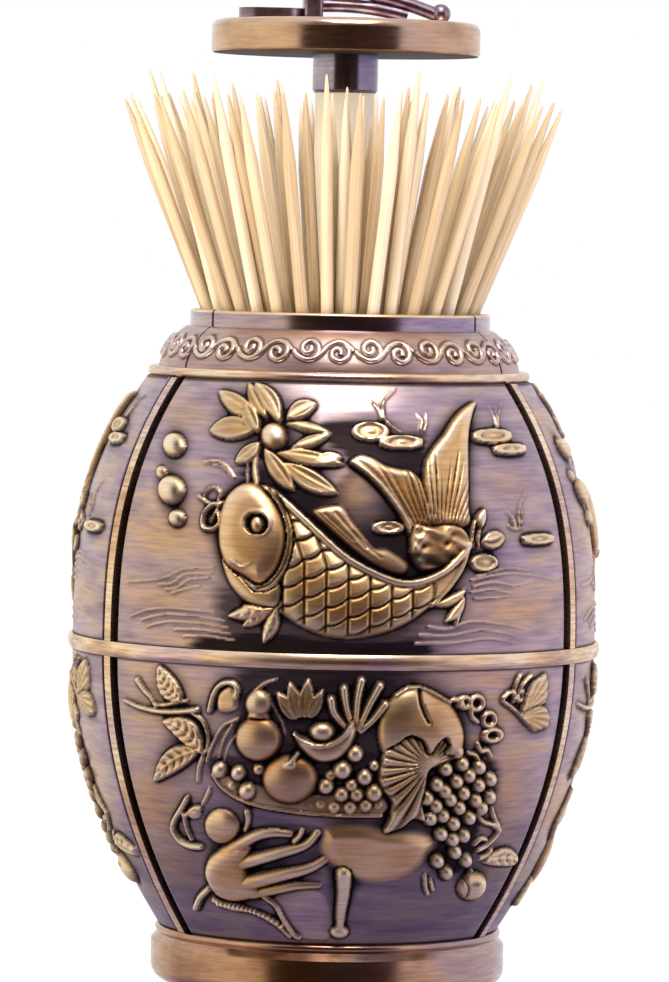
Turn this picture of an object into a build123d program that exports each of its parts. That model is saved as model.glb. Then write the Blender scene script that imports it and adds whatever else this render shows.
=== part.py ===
"""Pull-up toothpick dispenser, shown with its lid raised and the toothpicks fanned out.

Millimetres, +Z up, origin on the table under the middle of the foot. The front faces -Y.

A barrel of three upper and three lower staves stands on a foot ring. A hoop joins the two
halves, a second hoop lies under the frieze, and ribs cover the joints between staves. A plastic
liner hangs in the neck. A tie rod through its floor clamps the whole stack to the base plate,
and its upper part is the post that the lid's stem tube slides on. The stem carries a dished
tray, so pulling the lid lifts the toothpicks, which lean out over the rim. Each upper stave
carries a carp with a lotus in low relief, each lower stave a dish of fruit.
"""

from build123d import *

import os
from math import atan, cos, degrees, pi, radians, sin, tan

# ---------------------------------------------------------------- vessel, outside
RIM_HEIGHT = 102.4
NECK_RADIUS = 22.75
NECK_BORE_RADIUS = 21.4
NECK_BAND_HEIGHT = 2.5
RIM_ROUNDING = 0.35
FRIEZE_STEP = 0.45
FRIEZE_BASE_RADIUS = 27.35
FRIEZE_BULGE = 0.56
SHOULDER_RADIUS = 28.95
SHOULDER_HEIGHT = 92.3
BELLY_RADIUS = 39.7
BELLY_HEIGHT = 52.0
WAIST_RADIUS = 25.8
WAIST_HEIGHT = 9.0
UPPER_FULLNESS = 2.75
LOWER_FULLNESS = 2.0

# ---------------------------------------------------------------- staves, ribs and hoops
STAVE_COUNT = 3
STAVE_WALL = 2.6
STAVE_GAP = 0.3
BORE_CONE_LOW = 4.2
BORE_CONE_HIGH = 1.0
RIB_WIDTH = 1.7
RIB_PROUD = 0.35
GROOVE_WIDTH = 1.3
GROOVE_DEPTH = 1.3
SHOULDER_HOOP_HEIGHT = 1.5
EQUATOR_HOOP_HEIGHT = 2.2
EQUATOR_HOOP_PROUD = 0.7
EQUATOR_WEB_HEIGHT = 1.0
EQUATOR_SLEEVE_HEIGHT = 7.0
EQUATOR_SLEEVE_WALL = 1.2
SEAT_CLEARANCE = 0.05
SLEEVE_CLEARANCE = 0.25
CUT_MARGIN = 5.0

# ---------------------------------------------------------------- relief
# Heights of each panel's lower and upper edge on the drawing of its relief.
LOWER_DRAWING_EDGES = (9.0, 51.5)
UPPER_DRAWING_EDGES = (52.5, 92.3)
SLOPE_REACH = 1.0
RELIEF_ROOT = 1.2
LEAF_END = 0.3
LEAF_SHOULDER = (0.35, 0.85)
LEAF_WIDEST = 0.65
LEAF_END_RISE = 0.6
PETAL_RISE = 0.8
BUBBLE_RISE = 0.55
GRAPE_PITCH = 2.9
GRAPE_RADIUS = 1.35
GRAPE_RISE = 1.2
TWIG_LEAF_WIDTH = 3.4
TWIG_LEAF_RISE = 0.8

# ---------------------------------------------------------------- foot and base
FOOT_RADIUS = 26.9
FOOT_LIP_RADIUS = 26.3
FOOT_LIP_HEIGHT = 1.2
FOOT_ROUNDING = 2.6
FOOT_LIFT = 0.4
FOOT_SPIGOT_HEIGHT = 2.5
FOOT_WALL = 1.8
BASE_PLATE_RADIUS = 22.6
BASE_PLATE_THICKNESS = 1.2
BASE_PLATE_HEIGHT = 4.2
PAD_RADIUS = 22.3
PAD_HOLE_RADIUS = 6.2

# ---------------------------------------------------------------- liner
LINER_RADIUS = 19.5
LINER_WALL = 0.9
LINER_DRAFT = 0.3
LINER_FLOOR_HEIGHT = 8.0
LINER_FLOOR_THICKNESS = 1.5
LINER_FLANGE_THICKNESS = 1.4
LINER_CLEARANCE = 0.2
KEY_WIDTH = 2.0
KEY_DEPTH = 0.9
KEY_CLEARANCE = 0.3
KEY_TOP_DROP = 7.0

# ---------------------------------------------------------------- lid and stem
LID_RADIUS = 20.35
LID_THICKNESS = 5.0
LID_TOP_ROUNDING = 1.3
LID_EDGE_CHAMFER = 0.3
LID_RAISE = 38.9
STEM_RADIUS = 4.5
STEM_SPIGOT_RADIUS = 4.0
STEM_BORE_RADIUS = 3.4
STEM_PLUG_LENGTH = 8.0
BUSHING_LENGTH = 8.0
COLLAR_WALL = 0.45
COLLAR_LENGTH = 5.8
SCREW_RADIUS = 1.5
SCREW_HEAD_RADIUS = 3.0
SCREW_HEAD_HEIGHT = 1.8
SCREW_LENGTH = 11.0
SCREW_CLEARANCE = 0.1
SCREW_DRIVE_WIDTH = 0.8
SCREW_DRIVE_DEPTH = 0.9
STOP_GAP = 0.05

# ---------------------------------------------------------------- guide post
POST_RADIUS = 2.45
POST_CLEARANCE = 0.05
POST_FLANGE_RADIUS = 5.0
POST_FLANGE_THICKNESS = 1.5
POST_CAP_CLEARANCE = 0.15
POST_CAP_HEIGHT = 6.0
POST_CAP_BEVEL = 1.0
POST_STUD_RADIUS = 1.2
POST_STUD_LENGTH = 6.0
RING_WIRE_RADIUS = 0.5
RING_CLEARANCE = 0.02
WASHER_RADIUS = 5.0
WASHER_THICKNESS = 0.8
NUT_ACROSS_FLATS = 8.0
NUT_THICKNESS = 2.2
POST_END = 0.4

# ---------------------------------------------------------------- tray
TRAY_RADIUS = 18.6
TRAY_WALL = 1.6
TRAY_TROUGH_RADIUS = 7.0
TRAY_HUB_RADIUS = 5.6
TRAY_HUB_RISE = 1.6
TRAY_SLOPE = 29.0
TRAY_DEPTH_BELOW_RIM = 29.5
CLIP_RADIUS = 6.4
CLIP_THICKNESS = 0.8
CLIP_GAP = 0.8

# ---------------------------------------------------------------- toothpicks
PICK_LENGTH = 65.0
PICK_RADIUS = 0.95
PICK_TIP_RADIUS = 0.22
PICK_TAPER = 11.0
PICK_GAP = 0.15
OUTER_PLACES = 36
INNER_COUNT = 18
LOW_FOOT_RADIUS = 8.4
LOW_FOOT_SPREAD = 0.9
HIGH_FOOT_RADIUS = 11.9
HIGH_FOOT_SPREAD = 0.6
HIGH_RIM_INSET = 0.45
INNER_FOOT_RADIUS = 6.1
INNER_FOOT_SPREAD = 0.35
INNER_RIM_INSET = 4.2
INNER_RIM_SPREAD = 1.2
PICK_TURN = 1.4
LOW_PICK_TURN = 0.7
HIGH_EVERY = 3
WOBBLE_STEP = 137.508
WOBBLE_OFFSET = 40

# ---------------------------------------------------------------- grip on the lid
LEAF_LENGTH = 10.2
LEAF_WIDTH = 7.0
LEAF_THICKNESS = 1.8
LEAF_CENTRE = -11.2
KNOT_WIDTH = 2.9
KNOT_DEPTH = 7.4
KNOT_HEIGHT = 5.4
KNOT_OVERLAP = 0.5
STRAND_RADIUS = 1.05
BRIDGE_HEIGHT = 2.3
BRIDGE_REACH = 9.2
FALL_START = 5.4
FALL_BEND = (6.6, 3.6)
CURL_REACH = 14.3
CURL_RADIUS = 1.5
BUD_CENTRE = 0.6
BUD_RADIUS = 4.2
BUD_HEIGHT = 11.0
BUD_FOOT_RADIUS = 2.1
BUD_TIP_RADIUS = 0.3

# ---------------------------------------------------------------- worked out from the above
LID_SEAT_HEIGHT = RIM_HEIGHT - LID_THICKNESS
LID_UNDERSIDE = RIM_HEIGHT + LID_RAISE
LID_TOP = LID_UNDERSIDE + LID_THICKNESS
TROUGH_HEIGHT = RIM_HEIGHT - TRAY_DEPTH_BELOW_RIM
STEM_END = TROUGH_HEIGHT - TRAY_WALL - CLIP_GAP - CLIP_THICKNESS - CLIP_GAP
FLANGE_UNDERSIDE = LID_SEAT_HEIGHT - LINER_FLANGE_THICKNESS
LINER_UNDERSIDE = LINER_FLOOR_HEIGHT - LINER_FLOOR_THICKNESS
PLATE_TOP = BASE_PLATE_HEIGHT + BASE_PLATE_THICKNESS
FOOT_SPIGOT_RADIUS = WAIST_RADIUS - STAVE_WALL - LINER_CLEARANCE
FOOT_INNER_RADIUS = FOOT_SPIGOT_RADIUS - FOOT_WALL
POST_BOTTOM = BASE_PLATE_HEIGHT - WASHER_THICKNESS - NUT_THICKNESS - POST_END
BUSHING_TOP = STEM_END + BUSHING_LENGTH
POST_TOP = BUSHING_TOP + STOP_GAP
BUSHING_RADIUS = POST_RADIUS + POST_CLEARANCE
STAVE_BORE_RADIUS = LINER_RADIUS + LINER_WALL + LINER_CLEARANCE

STAVE_ANGLE = 360 / STAVE_COUNT
FRONT = -90
GRIP_PLANE = Plane((0, 0, LID_TOP), x_dir=(1, 0, 0), z_dir=(0, -1, 0))
STAVE_PLACES = {"front": 0, "right": STAVE_ANGLE, "left": -STAVE_ANGLE}
RIB_PLACES = {"front_right": 0.5, "back": 1.5, "front_left": -0.5}
REACH = BELLY_RADIUS + CUT_MARGIN
RIB_SWEEP = 20.0


def barrel_radius(height):
    """Outside radius of the staves at a height: full above the belly, rounder below it."""
    if height >= BELLY_HEIGHT:
        share = (height - BELLY_HEIGHT) / (SHOULDER_HEIGHT - BELLY_HEIGHT)
        return BELLY_RADIUS - (BELLY_RADIUS - SHOULDER_RADIUS) * share**UPPER_FULLNESS
    share = (BELLY_HEIGHT - height) / (BELLY_HEIGHT - WAIST_HEIGHT)
    return BELLY_RADIUS - (BELLY_RADIUS - WAIST_RADIUS) * share**LOWER_FULLNESS


def barrel_curve(low, high, offset=0.0, points=7):
    """Curve of the barrel's side from low to high, moved outwards by offset."""
    heights = [low + (high - low) * i / (points - 1) for i in range(points)]
    return Spline(*[(barrel_radius(h) + offset, h) for h in heights])


def turned(outline, start=0.0, arc=360.0):
    """Turns a closed outline of (radius, height) about the Z axis."""
    face = Rot(0, 0, start) * (Plane.XZ * make_face(outline))
    return revolve(face, Axis.Z, revolution_arc=arc)


def turned_polygon(*corners):
    return turned(Polyline(*corners, close=True))


def ring(inner, outer, low, high):
    return turned_polygon((inner, low), (outer, low), (outer, high), (inner, high))


def radial_slab(angle, width, low, high):
    """Upright slab from the axis outwards in one direction, to cut or keep a strip."""
    slab = Pos(REACH / 2, 0, (low + high) / 2) * Box(REACH, width, high - low)
    return Rot(0, 0, angle) * slab


def node(solid, name):
    solid.label = name
    return name, solid


# ---------------------------------------------------------------- staves
def upper_stave_outline():
    """Section of an upper stave: panel, step under the hoop, frieze, neck band and bore."""
    low = BELLY_HEIGHT + EQUATOR_WEB_HEIGHT / 2
    frieze_low = SHOULDER_HEIGHT + SHOULDER_HOOP_HEIGHT + SEAT_CLEARANCE
    frieze_high = RIM_HEIGHT - NECK_BAND_HEIGHT
    frieze_top_radius = NECK_RADIUS + FRIEZE_STEP
    cone_low = SHOULDER_HEIGHT - BORE_CONE_LOW
    middle = (
        (frieze_top_radius + FRIEZE_BASE_RADIUS) / 2 + FRIEZE_BULGE,
        (frieze_low + frieze_high) / 2 + FRIEZE_BULGE,
    )
    panel = barrel_curve(low, SHOULDER_HEIGHT)
    step = Polyline(
        (SHOULDER_RADIUS, SHOULDER_HEIGHT),
        (FRIEZE_BASE_RADIUS, SHOULDER_HEIGHT),
        (FRIEZE_BASE_RADIUS, frieze_low),
    )
    frieze = ThreePointArc(
        (FRIEZE_BASE_RADIUS, frieze_low), middle, (frieze_top_radius, frieze_high)
    )
    neck = Polyline(
        (frieze_top_radius, frieze_high),
        (NECK_RADIUS, frieze_high),
        (NECK_RADIUS, RIM_HEIGHT - RIM_ROUNDING),
        (NECK_RADIUS - RIM_ROUNDING, RIM_HEIGHT),
        (NECK_BORE_RADIUS, RIM_HEIGHT),
        (NECK_BORE_RADIUS, FLANGE_UNDERSIDE),
        (STAVE_BORE_RADIUS, FLANGE_UNDERSIDE),
        (STAVE_BORE_RADIUS, SHOULDER_HEIGHT + BORE_CONE_HIGH),
        (barrel_radius(cone_low) - STAVE_WALL, cone_low),
    )
    inside = barrel_curve(low, cone_low, -STAVE_WALL)
    bottom = Line(
        (barrel_radius(low) - STAVE_WALL, low), (barrel_radius(low), low)
    )
    return panel + step + frieze + neck + inside + bottom


def lower_stave_outline():
    high = BELLY_HEIGHT - EQUATOR_WEB_HEIGHT / 2
    outside = barrel_curve(WAIST_HEIGHT, high)
    inside = barrel_curve(WAIST_HEIGHT, high, -STAVE_WALL)
    top = Line((barrel_radius(high), high), (barrel_radius(high) - STAVE_WALL, high))
    bottom = Line((WAIST_RADIUS, WAIST_HEIGHT), (WAIST_RADIUS - STAVE_WALL, WAIST_HEIGHT))
    return outside + top + inside + bottom


def barrel_shell(low, high, inner_offset, outer_offset, start, arc):
    """Part of a turned shell that follows the barrel's side, for grooves and ribs."""
    outline = (
        barrel_curve(low, high, inner_offset)
        + barrel_curve(low, high, outer_offset)
        + Line(
            (barrel_radius(low) + inner_offset, low),
            (barrel_radius(low) + outer_offset, low),
        )
        + Line(
            (barrel_radius(high) + inner_offset, high),
            (barrel_radius(high) + outer_offset, high),
        )
    )
    return turned(outline, start, arc)


def stave(outline, low, high):
    """Plain front stave: a third of the turned body, half a rib's groove along each side."""
    start = FRONT - STAVE_ANGLE / 2
    body = turned(outline, start, STAVE_ANGLE)
    margin = RIB_SWEEP / 2
    shell = barrel_shell(
        low, high, -GROOVE_DEPTH, CUT_MARGIN, start - margin, STAVE_ANGLE + RIB_SWEEP
    )
    for side in (start, start + STAVE_ANGLE):
        body -= radial_slab(side, STAVE_GAP, 0, RIM_HEIGHT + CUT_MARGIN)
        body -= shell & radial_slab(side, RIB_WIDTH + 2 * GROOVE_WIDTH, low, high)
    return body


def rib(low, high, place):
    """Strip that covers the joint of two staves, lying on the floor of their groove."""
    side = FRONT + place * STAVE_ANGLE
    shell = barrel_shell(low, high, -GROOVE_DEPTH, RIB_PROUD, side - RIB_SWEEP / 2, RIB_SWEEP)
    return shell & radial_slab(side, RIB_WIDTH, low, high)


# ---------------------------------------------------------------- relief on the front staves
# Places on a panel are (along, height): along runs round the barrel from the panel's middle,
# to the right, and height is the height on the drawing of the panel's relief.
def panel_height(drawn):
    """Height above the table of a height on the drawing, which fills its panel."""
    web = EQUATOR_WEB_HEIGHT / 2
    low, high = WAIST_HEIGHT, BELLY_HEIGHT - web
    drawn_low, drawn_high = LOWER_DRAWING_EDGES
    if drawn > drawn_high:
        low, high = BELLY_HEIGHT + web, SHOULDER_HEIGHT
        drawn_low, drawn_high = UPPER_DRAWING_EDGES
    return low + (high - low) * (drawn - drawn_low) / (drawn_high - drawn_low)


def on_panel(along, height):
    """Point on the front panel, and the direction that its surface faces there."""
    height = panel_height(height)
    angle = radians(FRONT) + along / barrel_radius(height)
    rise = barrel_radius(height + SLOPE_REACH) - barrel_radius(height - SLOPE_REACH)
    slope = rise / (2 * SLOPE_REACH)
    outward = Vector(cos(angle), sin(angle), -slope).normalized()
    radius = barrel_radius(height)
    return Vector(radius * cos(angle), radius * sin(angle), height), outward


def boss(along, height, radius, proud):
    """Round domed form, such as a fruit, bubble or grape: a ball's cap rooted in the wall."""
    place, outward = on_panel(along, height)
    ball = (radius**2 + proud**2) / (2 * proud)
    foot = (ball**2 - (ball - proud - RELIEF_ROOT) ** 2) ** 0.5
    outline = ThreePointArc((foot, -RELIEF_ROOT), (radius, 0), (0, proud))
    outline += Polyline((0, proud), (0, -RELIEF_ROOT), (foot, -RELIEF_ROOT))
    return Plane(place, z_dir=outward) * turned(outline)


def bar(*stations):
    """Rounded form through stations of (along, height, width, proud)."""
    places = [on_panel(along, height) for along, height, _, _ in stations]
    sections = []
    for i, (_, _, width, proud) in enumerate(stations):
        place, outward = places[i]
        before, after = places[max(i - 1, 0)][0], places[min(i + 1, len(places) - 1)][0]
        course = after - before
        inward = course.cross(outward).cross(course) * -1
        sections.append(Plane(place, x_dir=inward, z_dir=course) * Ellipse(proud, width / 2))
    return loft(sections)


def leaf(foot, tip, width, proud):
    """Leaf or petal from foot to tip, widest past its middle."""
    (u0, z0), (u1, z1) = foot, tip
    shares = ((0.0, LEAF_END), LEAF_SHOULDER, (LEAF_WIDEST, 1.0), (1.0, LEAF_END))
    return bar(
        *[
            (u0 + (u1 - u0) * s, z0 + (z1 - z0) * s, width * w, proud * max(w, LEAF_END_RISE))
            for s, w in shares
        ]
    )


def carp():
    """Leaping carp: body from snout to tail root, dorsal fin, tail in two lobes, bubbles."""
    yield bar(
        (-21.2, 71.6, 1.6, 0.6),
        (-18.4, 70.2, 8.0, 1.3),
        (-14.4, 68.6, 13.4, 1.7),
        (-9.4, 66.6, 15.0, 1.8),
        (-3.0, 62.9, 12.8, 1.7),
        (3.2, 60.6, 9.4, 1.5),
        (9.2, 61.1, 6.0, 1.3),
        (14.2, 63.6, 4.0, 1.1),
        (17.6, 67.2, 2.6, 0.9),
    )
    yield bar(
        (-4.6, 73.9, 1.4, 0.6),
        (-1.6, 72.4, 3.0, 0.8),
        (3.2, 68.4, 2.6, 0.8),
        (7.8, 66.0, 1.2, 0.5),
    )
    yield bar(
        (15.4, 67.2, 5.0, 1.1),
        (14.8, 73.4, 6.6, 1.0),
        (15.2, 80.0, 6.4, 1.0),
        (19.6, 88.2, 1.6, 0.7),
    )
    yield bar(
        (12.4, 69.4, 3.0, 0.9),
        (8.8, 75.6, 5.6, 0.9),
        (5.4, 79.4, 3.2, 0.8),
        (1.2, 81.2, 1.2, 0.6),
    )
    yield leaf((-10.2, 60.2), (-17.6, 58.3), 2.4, 0.8)
    yield leaf((-10.6, 59.4), (-12.3, 54.9), 2.2, 0.8)
    for along, height, radius in ((-28.3, 82.5, 2.0), (-28.3, 76.0, 2.2), (-27.0, 72.0, 1.4)):
        yield boss(along, height, radius, radius * BUBBLE_RISE)


def lotus():
    """Open lotus over the carp: petals round a seed head."""
    petals = (
        ((-13.4, 85.3), (-21.5, 84.7), 3.4),
        ((-12.6, 82.9), (-17.2, 80.4), 2.3),
        ((-11.8, 82.8), (-8.2, 77.0), 2.7),
        ((-9.8, 82.0), (-2.0, 76.8), 3.0),
        ((-9.6, 83.2), (-1.2, 80.8), 2.3),
        ((-9.4, 86.0), (-3.8, 88.6), 2.6),
        ((-12.4, 86.6), (-14.6, 91.0), 2.8),
        ((-13.2, 86.2), (-19.8, 90.0), 2.9),
    )
    for foot, tip, width in petals:
        yield leaf(foot, tip, width, PETAL_RISE)
    yield boss(-11.2, 84.3, 2.0, 1.4)


def fruit_dish():
    """Dish heaped with fruit: its rim, two pears, a pomegranate, a plum and a peach."""
    yield bar(
        (-19.6, 34.8, 1.2, 0.5),
        (-14.0, 31.1, 2.6, 0.7),
        (-6.0, 30.1, 2.8, 0.7),
        (5.4, 29.8, 1.2, 0.5),
    )
    for along, height, radius, proud in (
        (-12.9, 45.4, 2.0, 1.3),
        (-12.8, 40.4, 3.3, 1.6),
        (-7.9, 34.6, 3.8, 1.7),
        (-3.4, 41.6, 2.6, 1.3),
        (11.5, 42.3, 6.0, 1.6),
        (-0.3, 36.2, 1.4, 1.2),
        (3.2, 34.6, 1.4, 1.1),
        (1.0, 32.3, 1.3, 1.0),
        (-17.0, 35.2, 1.3, 1.1),
    ):
        yield boss(along, height, radius, proud)
    yield bar((1.2, 42.2, 1.4, 0.6), (1.4, 46.0, 3.6, 0.8), (2.2, 49.2, 3.0, 0.6))


def grapes_and_vine():
    """Bunch of grapes in staggered rows under a vine leaf, and a butterfly."""
    rows = ((36.4, 17.0, 2), (33.4, 15.4, 3), (30.4, 14.4, 4), (27.4, 16.0, 2), (24.4, 17.6, 1))
    for height, first, count in rows:
        for i in range(count):
            yield boss(first + i * GRAPE_PITCH, height, GRAPE_RADIUS, GRAPE_RISE)
    yield bar(
        (8.2, 27.4, 2.4, 0.6),
        (8.8, 31.4, 6.4, 1.0),
        (9.6, 36.4, 8.6, 1.1),
        (10.2, 40.4, 3.6, 0.6),
    )
    yield leaf((29.2, 44.4), (34.0, 48.8), 3.4, 0.6)
    yield leaf((29.4, 43.6), (35.2, 42.9), 3.0, 0.6)


def melon_and_citron():
    """Melon on its stand, citron with its fingers, pomegranate, and leaves of the twig."""
    yield bar(
        (-3.6, 25.2, 1.8, 0.6),
        (0.6, 24.6, 7.4, 1.2),
        (7.4, 24.0, 8.4, 1.4),
        (14.8, 24.9, 2.2, 0.7),
    )
    yield bar((0.6, 20.8, 2.6, 1.0), (0.5, 15.4, 2.2, 1.1), (0.4, 11.4, 2.4, 0.8))
    yield boss(-17.2, 19.3, 3.8, 1.4)
    yield boss(-18.2, 26.9, 2.7, 1.1)
    yield boss(21.8, 17.9, 2.5, 1.3)
    yield bar((-15.4, 18.6, 1.8, 1.1), (-9.6, 18.6, 2.0, 1.0), (-3.0, 19.6, 1.0, 0.6))
    yield bar((-15.8, 20.4, 2.0, 1.1), (-9.0, 21.3, 2.2, 1.0), (-2.6, 23.3, 1.2, 0.6))
    yield bar((-16.2, 21.8, 2.0, 1.1), (-10.0, 24.0, 2.2, 1.0), (-4.4, 25.6, 1.4, 0.6))
    yield bar((-16.6, 22.4, 2.0, 1.1), (-12.4, 26.1, 2.2, 1.0), (-8.0, 27.2, 1.2, 0.6))
    twig_leaves = (
        ((-25.2, 45.4), (-29.5, 50.0)),
        ((-21.7, 38.0), (-28.7, 42.0)),
        ((-22.5, 38.0), (-30.3, 33.2)),
    )
    for foot, tip in twig_leaves:
        yield leaf(foot, tip, TWIG_LEAF_WIDTH, TWIG_LEAF_RISE)
    yield leaf((23.4, 21.5), (32.0, 21.2), 2.8, 0.8)


def staves_and_ribs():
    web = EQUATOR_WEB_HEIGHT / 2
    bead = EQUATOR_HOOP_HEIGHT / 2 + SEAT_CLEARANCE
    upper = stave(upper_stave_outline(), BELLY_HEIGHT + web, SHOULDER_HEIGHT)
    lower = stave(lower_stave_outline(), WAIST_HEIGHT, BELLY_HEIGHT - web)
    halves = {
        "upper": upper + [*carp(), *lotus()],
        "lower": lower + [*fruit_dish(), *grapes_and_vine(), *melon_and_citron()],
    }
    rib_spans = {
        "upper": (BELLY_HEIGHT + bead, SHOULDER_HEIGHT),
        "lower": (WAIST_HEIGHT, BELLY_HEIGHT - bead),
    }
    for half, front_stave in halves.items():
        for place, turn in STAVE_PLACES.items():
            yield node(Rot(0, 0, turn) * front_stave, f"{half}_stave_{place}")
        for place, share in RIB_PLACES.items():
            yield node(rib(*rib_spans[half], share), f"{half}_rib_{place}")


# ---------------------------------------------------------------- hoops
def shoulder_hoop():
    """Thin hoop dropped over the neck, half round outside, on the staves' step."""
    inner = FRIEZE_BASE_RADIUS + SEAT_CLEARANCE
    low = SHOULDER_HEIGHT
    high = low + SHOULDER_HOOP_HEIGHT
    flat = SHOULDER_RADIUS - SHOULDER_HOOP_HEIGHT / 2
    outline = Polyline((flat, high), (inner, high), (inner, low), (flat, low))
    outline += ThreePointArc((flat, low), (SHOULDER_RADIUS, (low + high) / 2), (flat, high))
    return turned(outline)


def equator_hoop():
    """T-section hoop: bead outside, web between the halves, sleeve inside them."""
    web = EQUATOR_WEB_HEIGHT / 2
    half = EQUATOR_HOOP_HEIGHT / 2
    seat = BELLY_RADIUS + SEAT_CLEARANCE
    crown = BELLY_RADIUS + EQUATOR_HOOP_PROUD
    sleeve_outer = BELLY_RADIUS - STAVE_WALL - SLEEVE_CLEARANCE
    sleeve = ring(
        sleeve_outer - EQUATOR_SLEEVE_WALL,
        sleeve_outer,
        BELLY_HEIGHT - EQUATOR_SLEEVE_HEIGHT / 2,
        BELLY_HEIGHT + EQUATOR_SLEEVE_HEIGHT / 2,
    )
    web_ring = ring(
        sleeve_outer - EQUATOR_SLEEVE_WALL, seat, BELLY_HEIGHT - web, BELLY_HEIGHT + web
    )
    edge = crown - EQUATOR_HOOP_PROUD / 2
    bead = Polyline(
        (edge, BELLY_HEIGHT + half),
        (seat, BELLY_HEIGHT + half),
        (seat, BELLY_HEIGHT - half),
        (edge, BELLY_HEIGHT - half),
    )
    bead += ThreePointArc(
        (edge, BELLY_HEIGHT - half), (crown, BELLY_HEIGHT), (edge, BELLY_HEIGHT + half)
    )
    return sleeve + web_ring + turned(bead)


# ---------------------------------------------------------------- foot and base
def foot_ring():
    """Turned foot: lip, upright side, rounded heel, ledge for the plate and a spigot."""
    pocket = BASE_PLATE_RADIUS + LINER_CLEARANCE
    top = WAIST_HEIGHT
    lip = top - FOOT_LIP_HEIGHT
    outline = Polyline(
        (FOOT_RADIUS - FOOT_ROUNDING, FOOT_LIFT),
        (pocket, FOOT_LIFT),
        (pocket, PLATE_TOP),
        (FOOT_INNER_RADIUS, PLATE_TOP),
        (FOOT_INNER_RADIUS, top + FOOT_SPIGOT_HEIGHT),
        (FOOT_SPIGOT_RADIUS, top + FOOT_SPIGOT_HEIGHT),
        (FOOT_SPIGOT_RADIUS, top),
        (FOOT_LIP_RADIUS - FOOT_LIP_HEIGHT / 3, top),
    )
    outline += ThreePointArc(
        (FOOT_LIP_RADIUS - FOOT_LIP_HEIGHT / 3, top),
        (FOOT_LIP_RADIUS, top - FOOT_LIP_HEIGHT / 2),
        (FOOT_LIP_RADIUS - FOOT_LIP_HEIGHT / 3, lip),
    )
    outline += Polyline(
        (FOOT_LIP_RADIUS - FOOT_LIP_HEIGHT / 3, lip),
        (FOOT_RADIUS, lip - FOOT_LIP_HEIGHT),
        (FOOT_RADIUS, FOOT_LIFT + FOOT_ROUNDING),
    )
    heel = FOOT_ROUNDING * (1 - cos(pi / 4))
    outline += ThreePointArc(
        (FOOT_RADIUS, FOOT_LIFT + FOOT_ROUNDING),
        (FOOT_RADIUS - heel, FOOT_LIFT + heel),
        (FOOT_RADIUS - FOOT_ROUNDING, FOOT_LIFT),
    )
    return turned(outline)


def base_plate():
    return ring(
        POST_RADIUS + SCREW_CLEARANCE, BASE_PLATE_RADIUS, BASE_PLATE_HEIGHT, PLATE_TOP
    )


def base_pad():
    return ring(PAD_HOLE_RADIUS, PAD_RADIUS, 0, BASE_PLATE_HEIGHT)


def tie_washer():
    return ring(
        POST_RADIUS + SCREW_CLEARANCE,
        WASHER_RADIUS,
        BASE_PLATE_HEIGHT - WASHER_THICKNESS,
        BASE_PLATE_HEIGHT,
    )


def tie_nut():
    low = BASE_PLATE_HEIGHT - WASHER_THICKNESS - NUT_THICKNESS
    hexagon = RegularPolygon(NUT_ACROSS_FLATS / 2, 6, major_radius=False)
    return Pos(0, 0, low) * extrude(hexagon - Circle(POST_RADIUS), NUT_THICKNESS)


# ---------------------------------------------------------------- liner
def liner_cup():
    """Drafted cup hung by its flange in the neck, with a key rib down its back."""
    foot_radius = LINER_RADIUS - LINER_DRAFT
    cup = turned_polygon(
        (POST_RADIUS + SCREW_CLEARANCE, LINER_UNDERSIDE),
        (foot_radius + LINER_WALL, LINER_UNDERSIDE),
        (LINER_RADIUS + LINER_WALL, FLANGE_UNDERSIDE),
        (NECK_BORE_RADIUS - LINER_CLEARANCE, FLANGE_UNDERSIDE),
        (NECK_BORE_RADIUS - LINER_CLEARANCE, LID_SEAT_HEIGHT),
        (LINER_RADIUS, LID_SEAT_HEIGHT),
        (foot_radius, LINER_FLOOR_HEIGHT),
        (POST_RADIUS + SCREW_CLEARANCE, LINER_FLOOR_HEIGHT),
    )
    key_top = LID_SEAT_HEIGHT - KEY_TOP_DROP
    wall_lean = degrees(atan(LINER_DRAFT / (LID_SEAT_HEIGHT - LINER_FLOOR_HEIGHT)))
    key_height = key_top - LINER_FLOOR_HEIGHT
    key = Rot(-wall_lean, 0, 0) * (
        Pos(0, 0, key_height / 2) * Box(KEY_WIDTH, 2 * KEY_DEPTH, key_height)
    )
    return cup + Pos(0, foot_radius, LINER_FLOOR_HEIGHT) * key


# ---------------------------------------------------------------- guide post
def guide_post():
    """Tie rod and guide in one: flange on the liner's floor, tapped hole in the top."""
    flange_top = LINER_FLOOR_HEIGHT + POST_FLANGE_THICKNESS
    return turned_polygon(
        (0, POST_BOTTOM),
        (POST_RADIUS, POST_BOTTOM),
        (POST_RADIUS, LINER_FLOOR_HEIGHT),
        (POST_FLANGE_RADIUS, LINER_FLOOR_HEIGHT),
        (POST_FLANGE_RADIUS, flange_top),
        (POST_RADIUS, flange_top),
        (POST_RADIUS, POST_TOP),
        (POST_STUD_RADIUS, POST_TOP),
        (POST_STUD_RADIUS, POST_TOP - POST_STUD_LENGTH),
        (0, POST_TOP - POST_STUD_LENGTH),
    )


def post_cap():
    """Headed stud: its head stops the bushing and carries the friction ring's groove."""
    head = STEM_BORE_RADIUS - POST_CAP_CLEARANCE
    middle = POST_TOP + POST_CAP_HEIGHT / 2
    top = POST_TOP + POST_CAP_HEIGHT
    groove = STEM_BORE_RADIUS - RING_CLEARANCE - 2 * RING_WIRE_RADIUS
    low_lip = middle - RING_WIRE_RADIUS - POST_CLEARANCE
    high_lip = middle + RING_WIRE_RADIUS + POST_CLEARANCE
    return turned_polygon(
        (0, POST_TOP - POST_STUD_LENGTH),
        (POST_STUD_RADIUS, POST_TOP - POST_STUD_LENGTH),
        (POST_STUD_RADIUS, POST_TOP),
        (head, POST_TOP),
        (head, low_lip),
        (groove, low_lip),
        (groove, high_lip),
        (head, high_lip),
        (head, top - POST_CAP_BEVEL),
        (head - POST_CAP_BEVEL, top),
        (0, top),
    )


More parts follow.
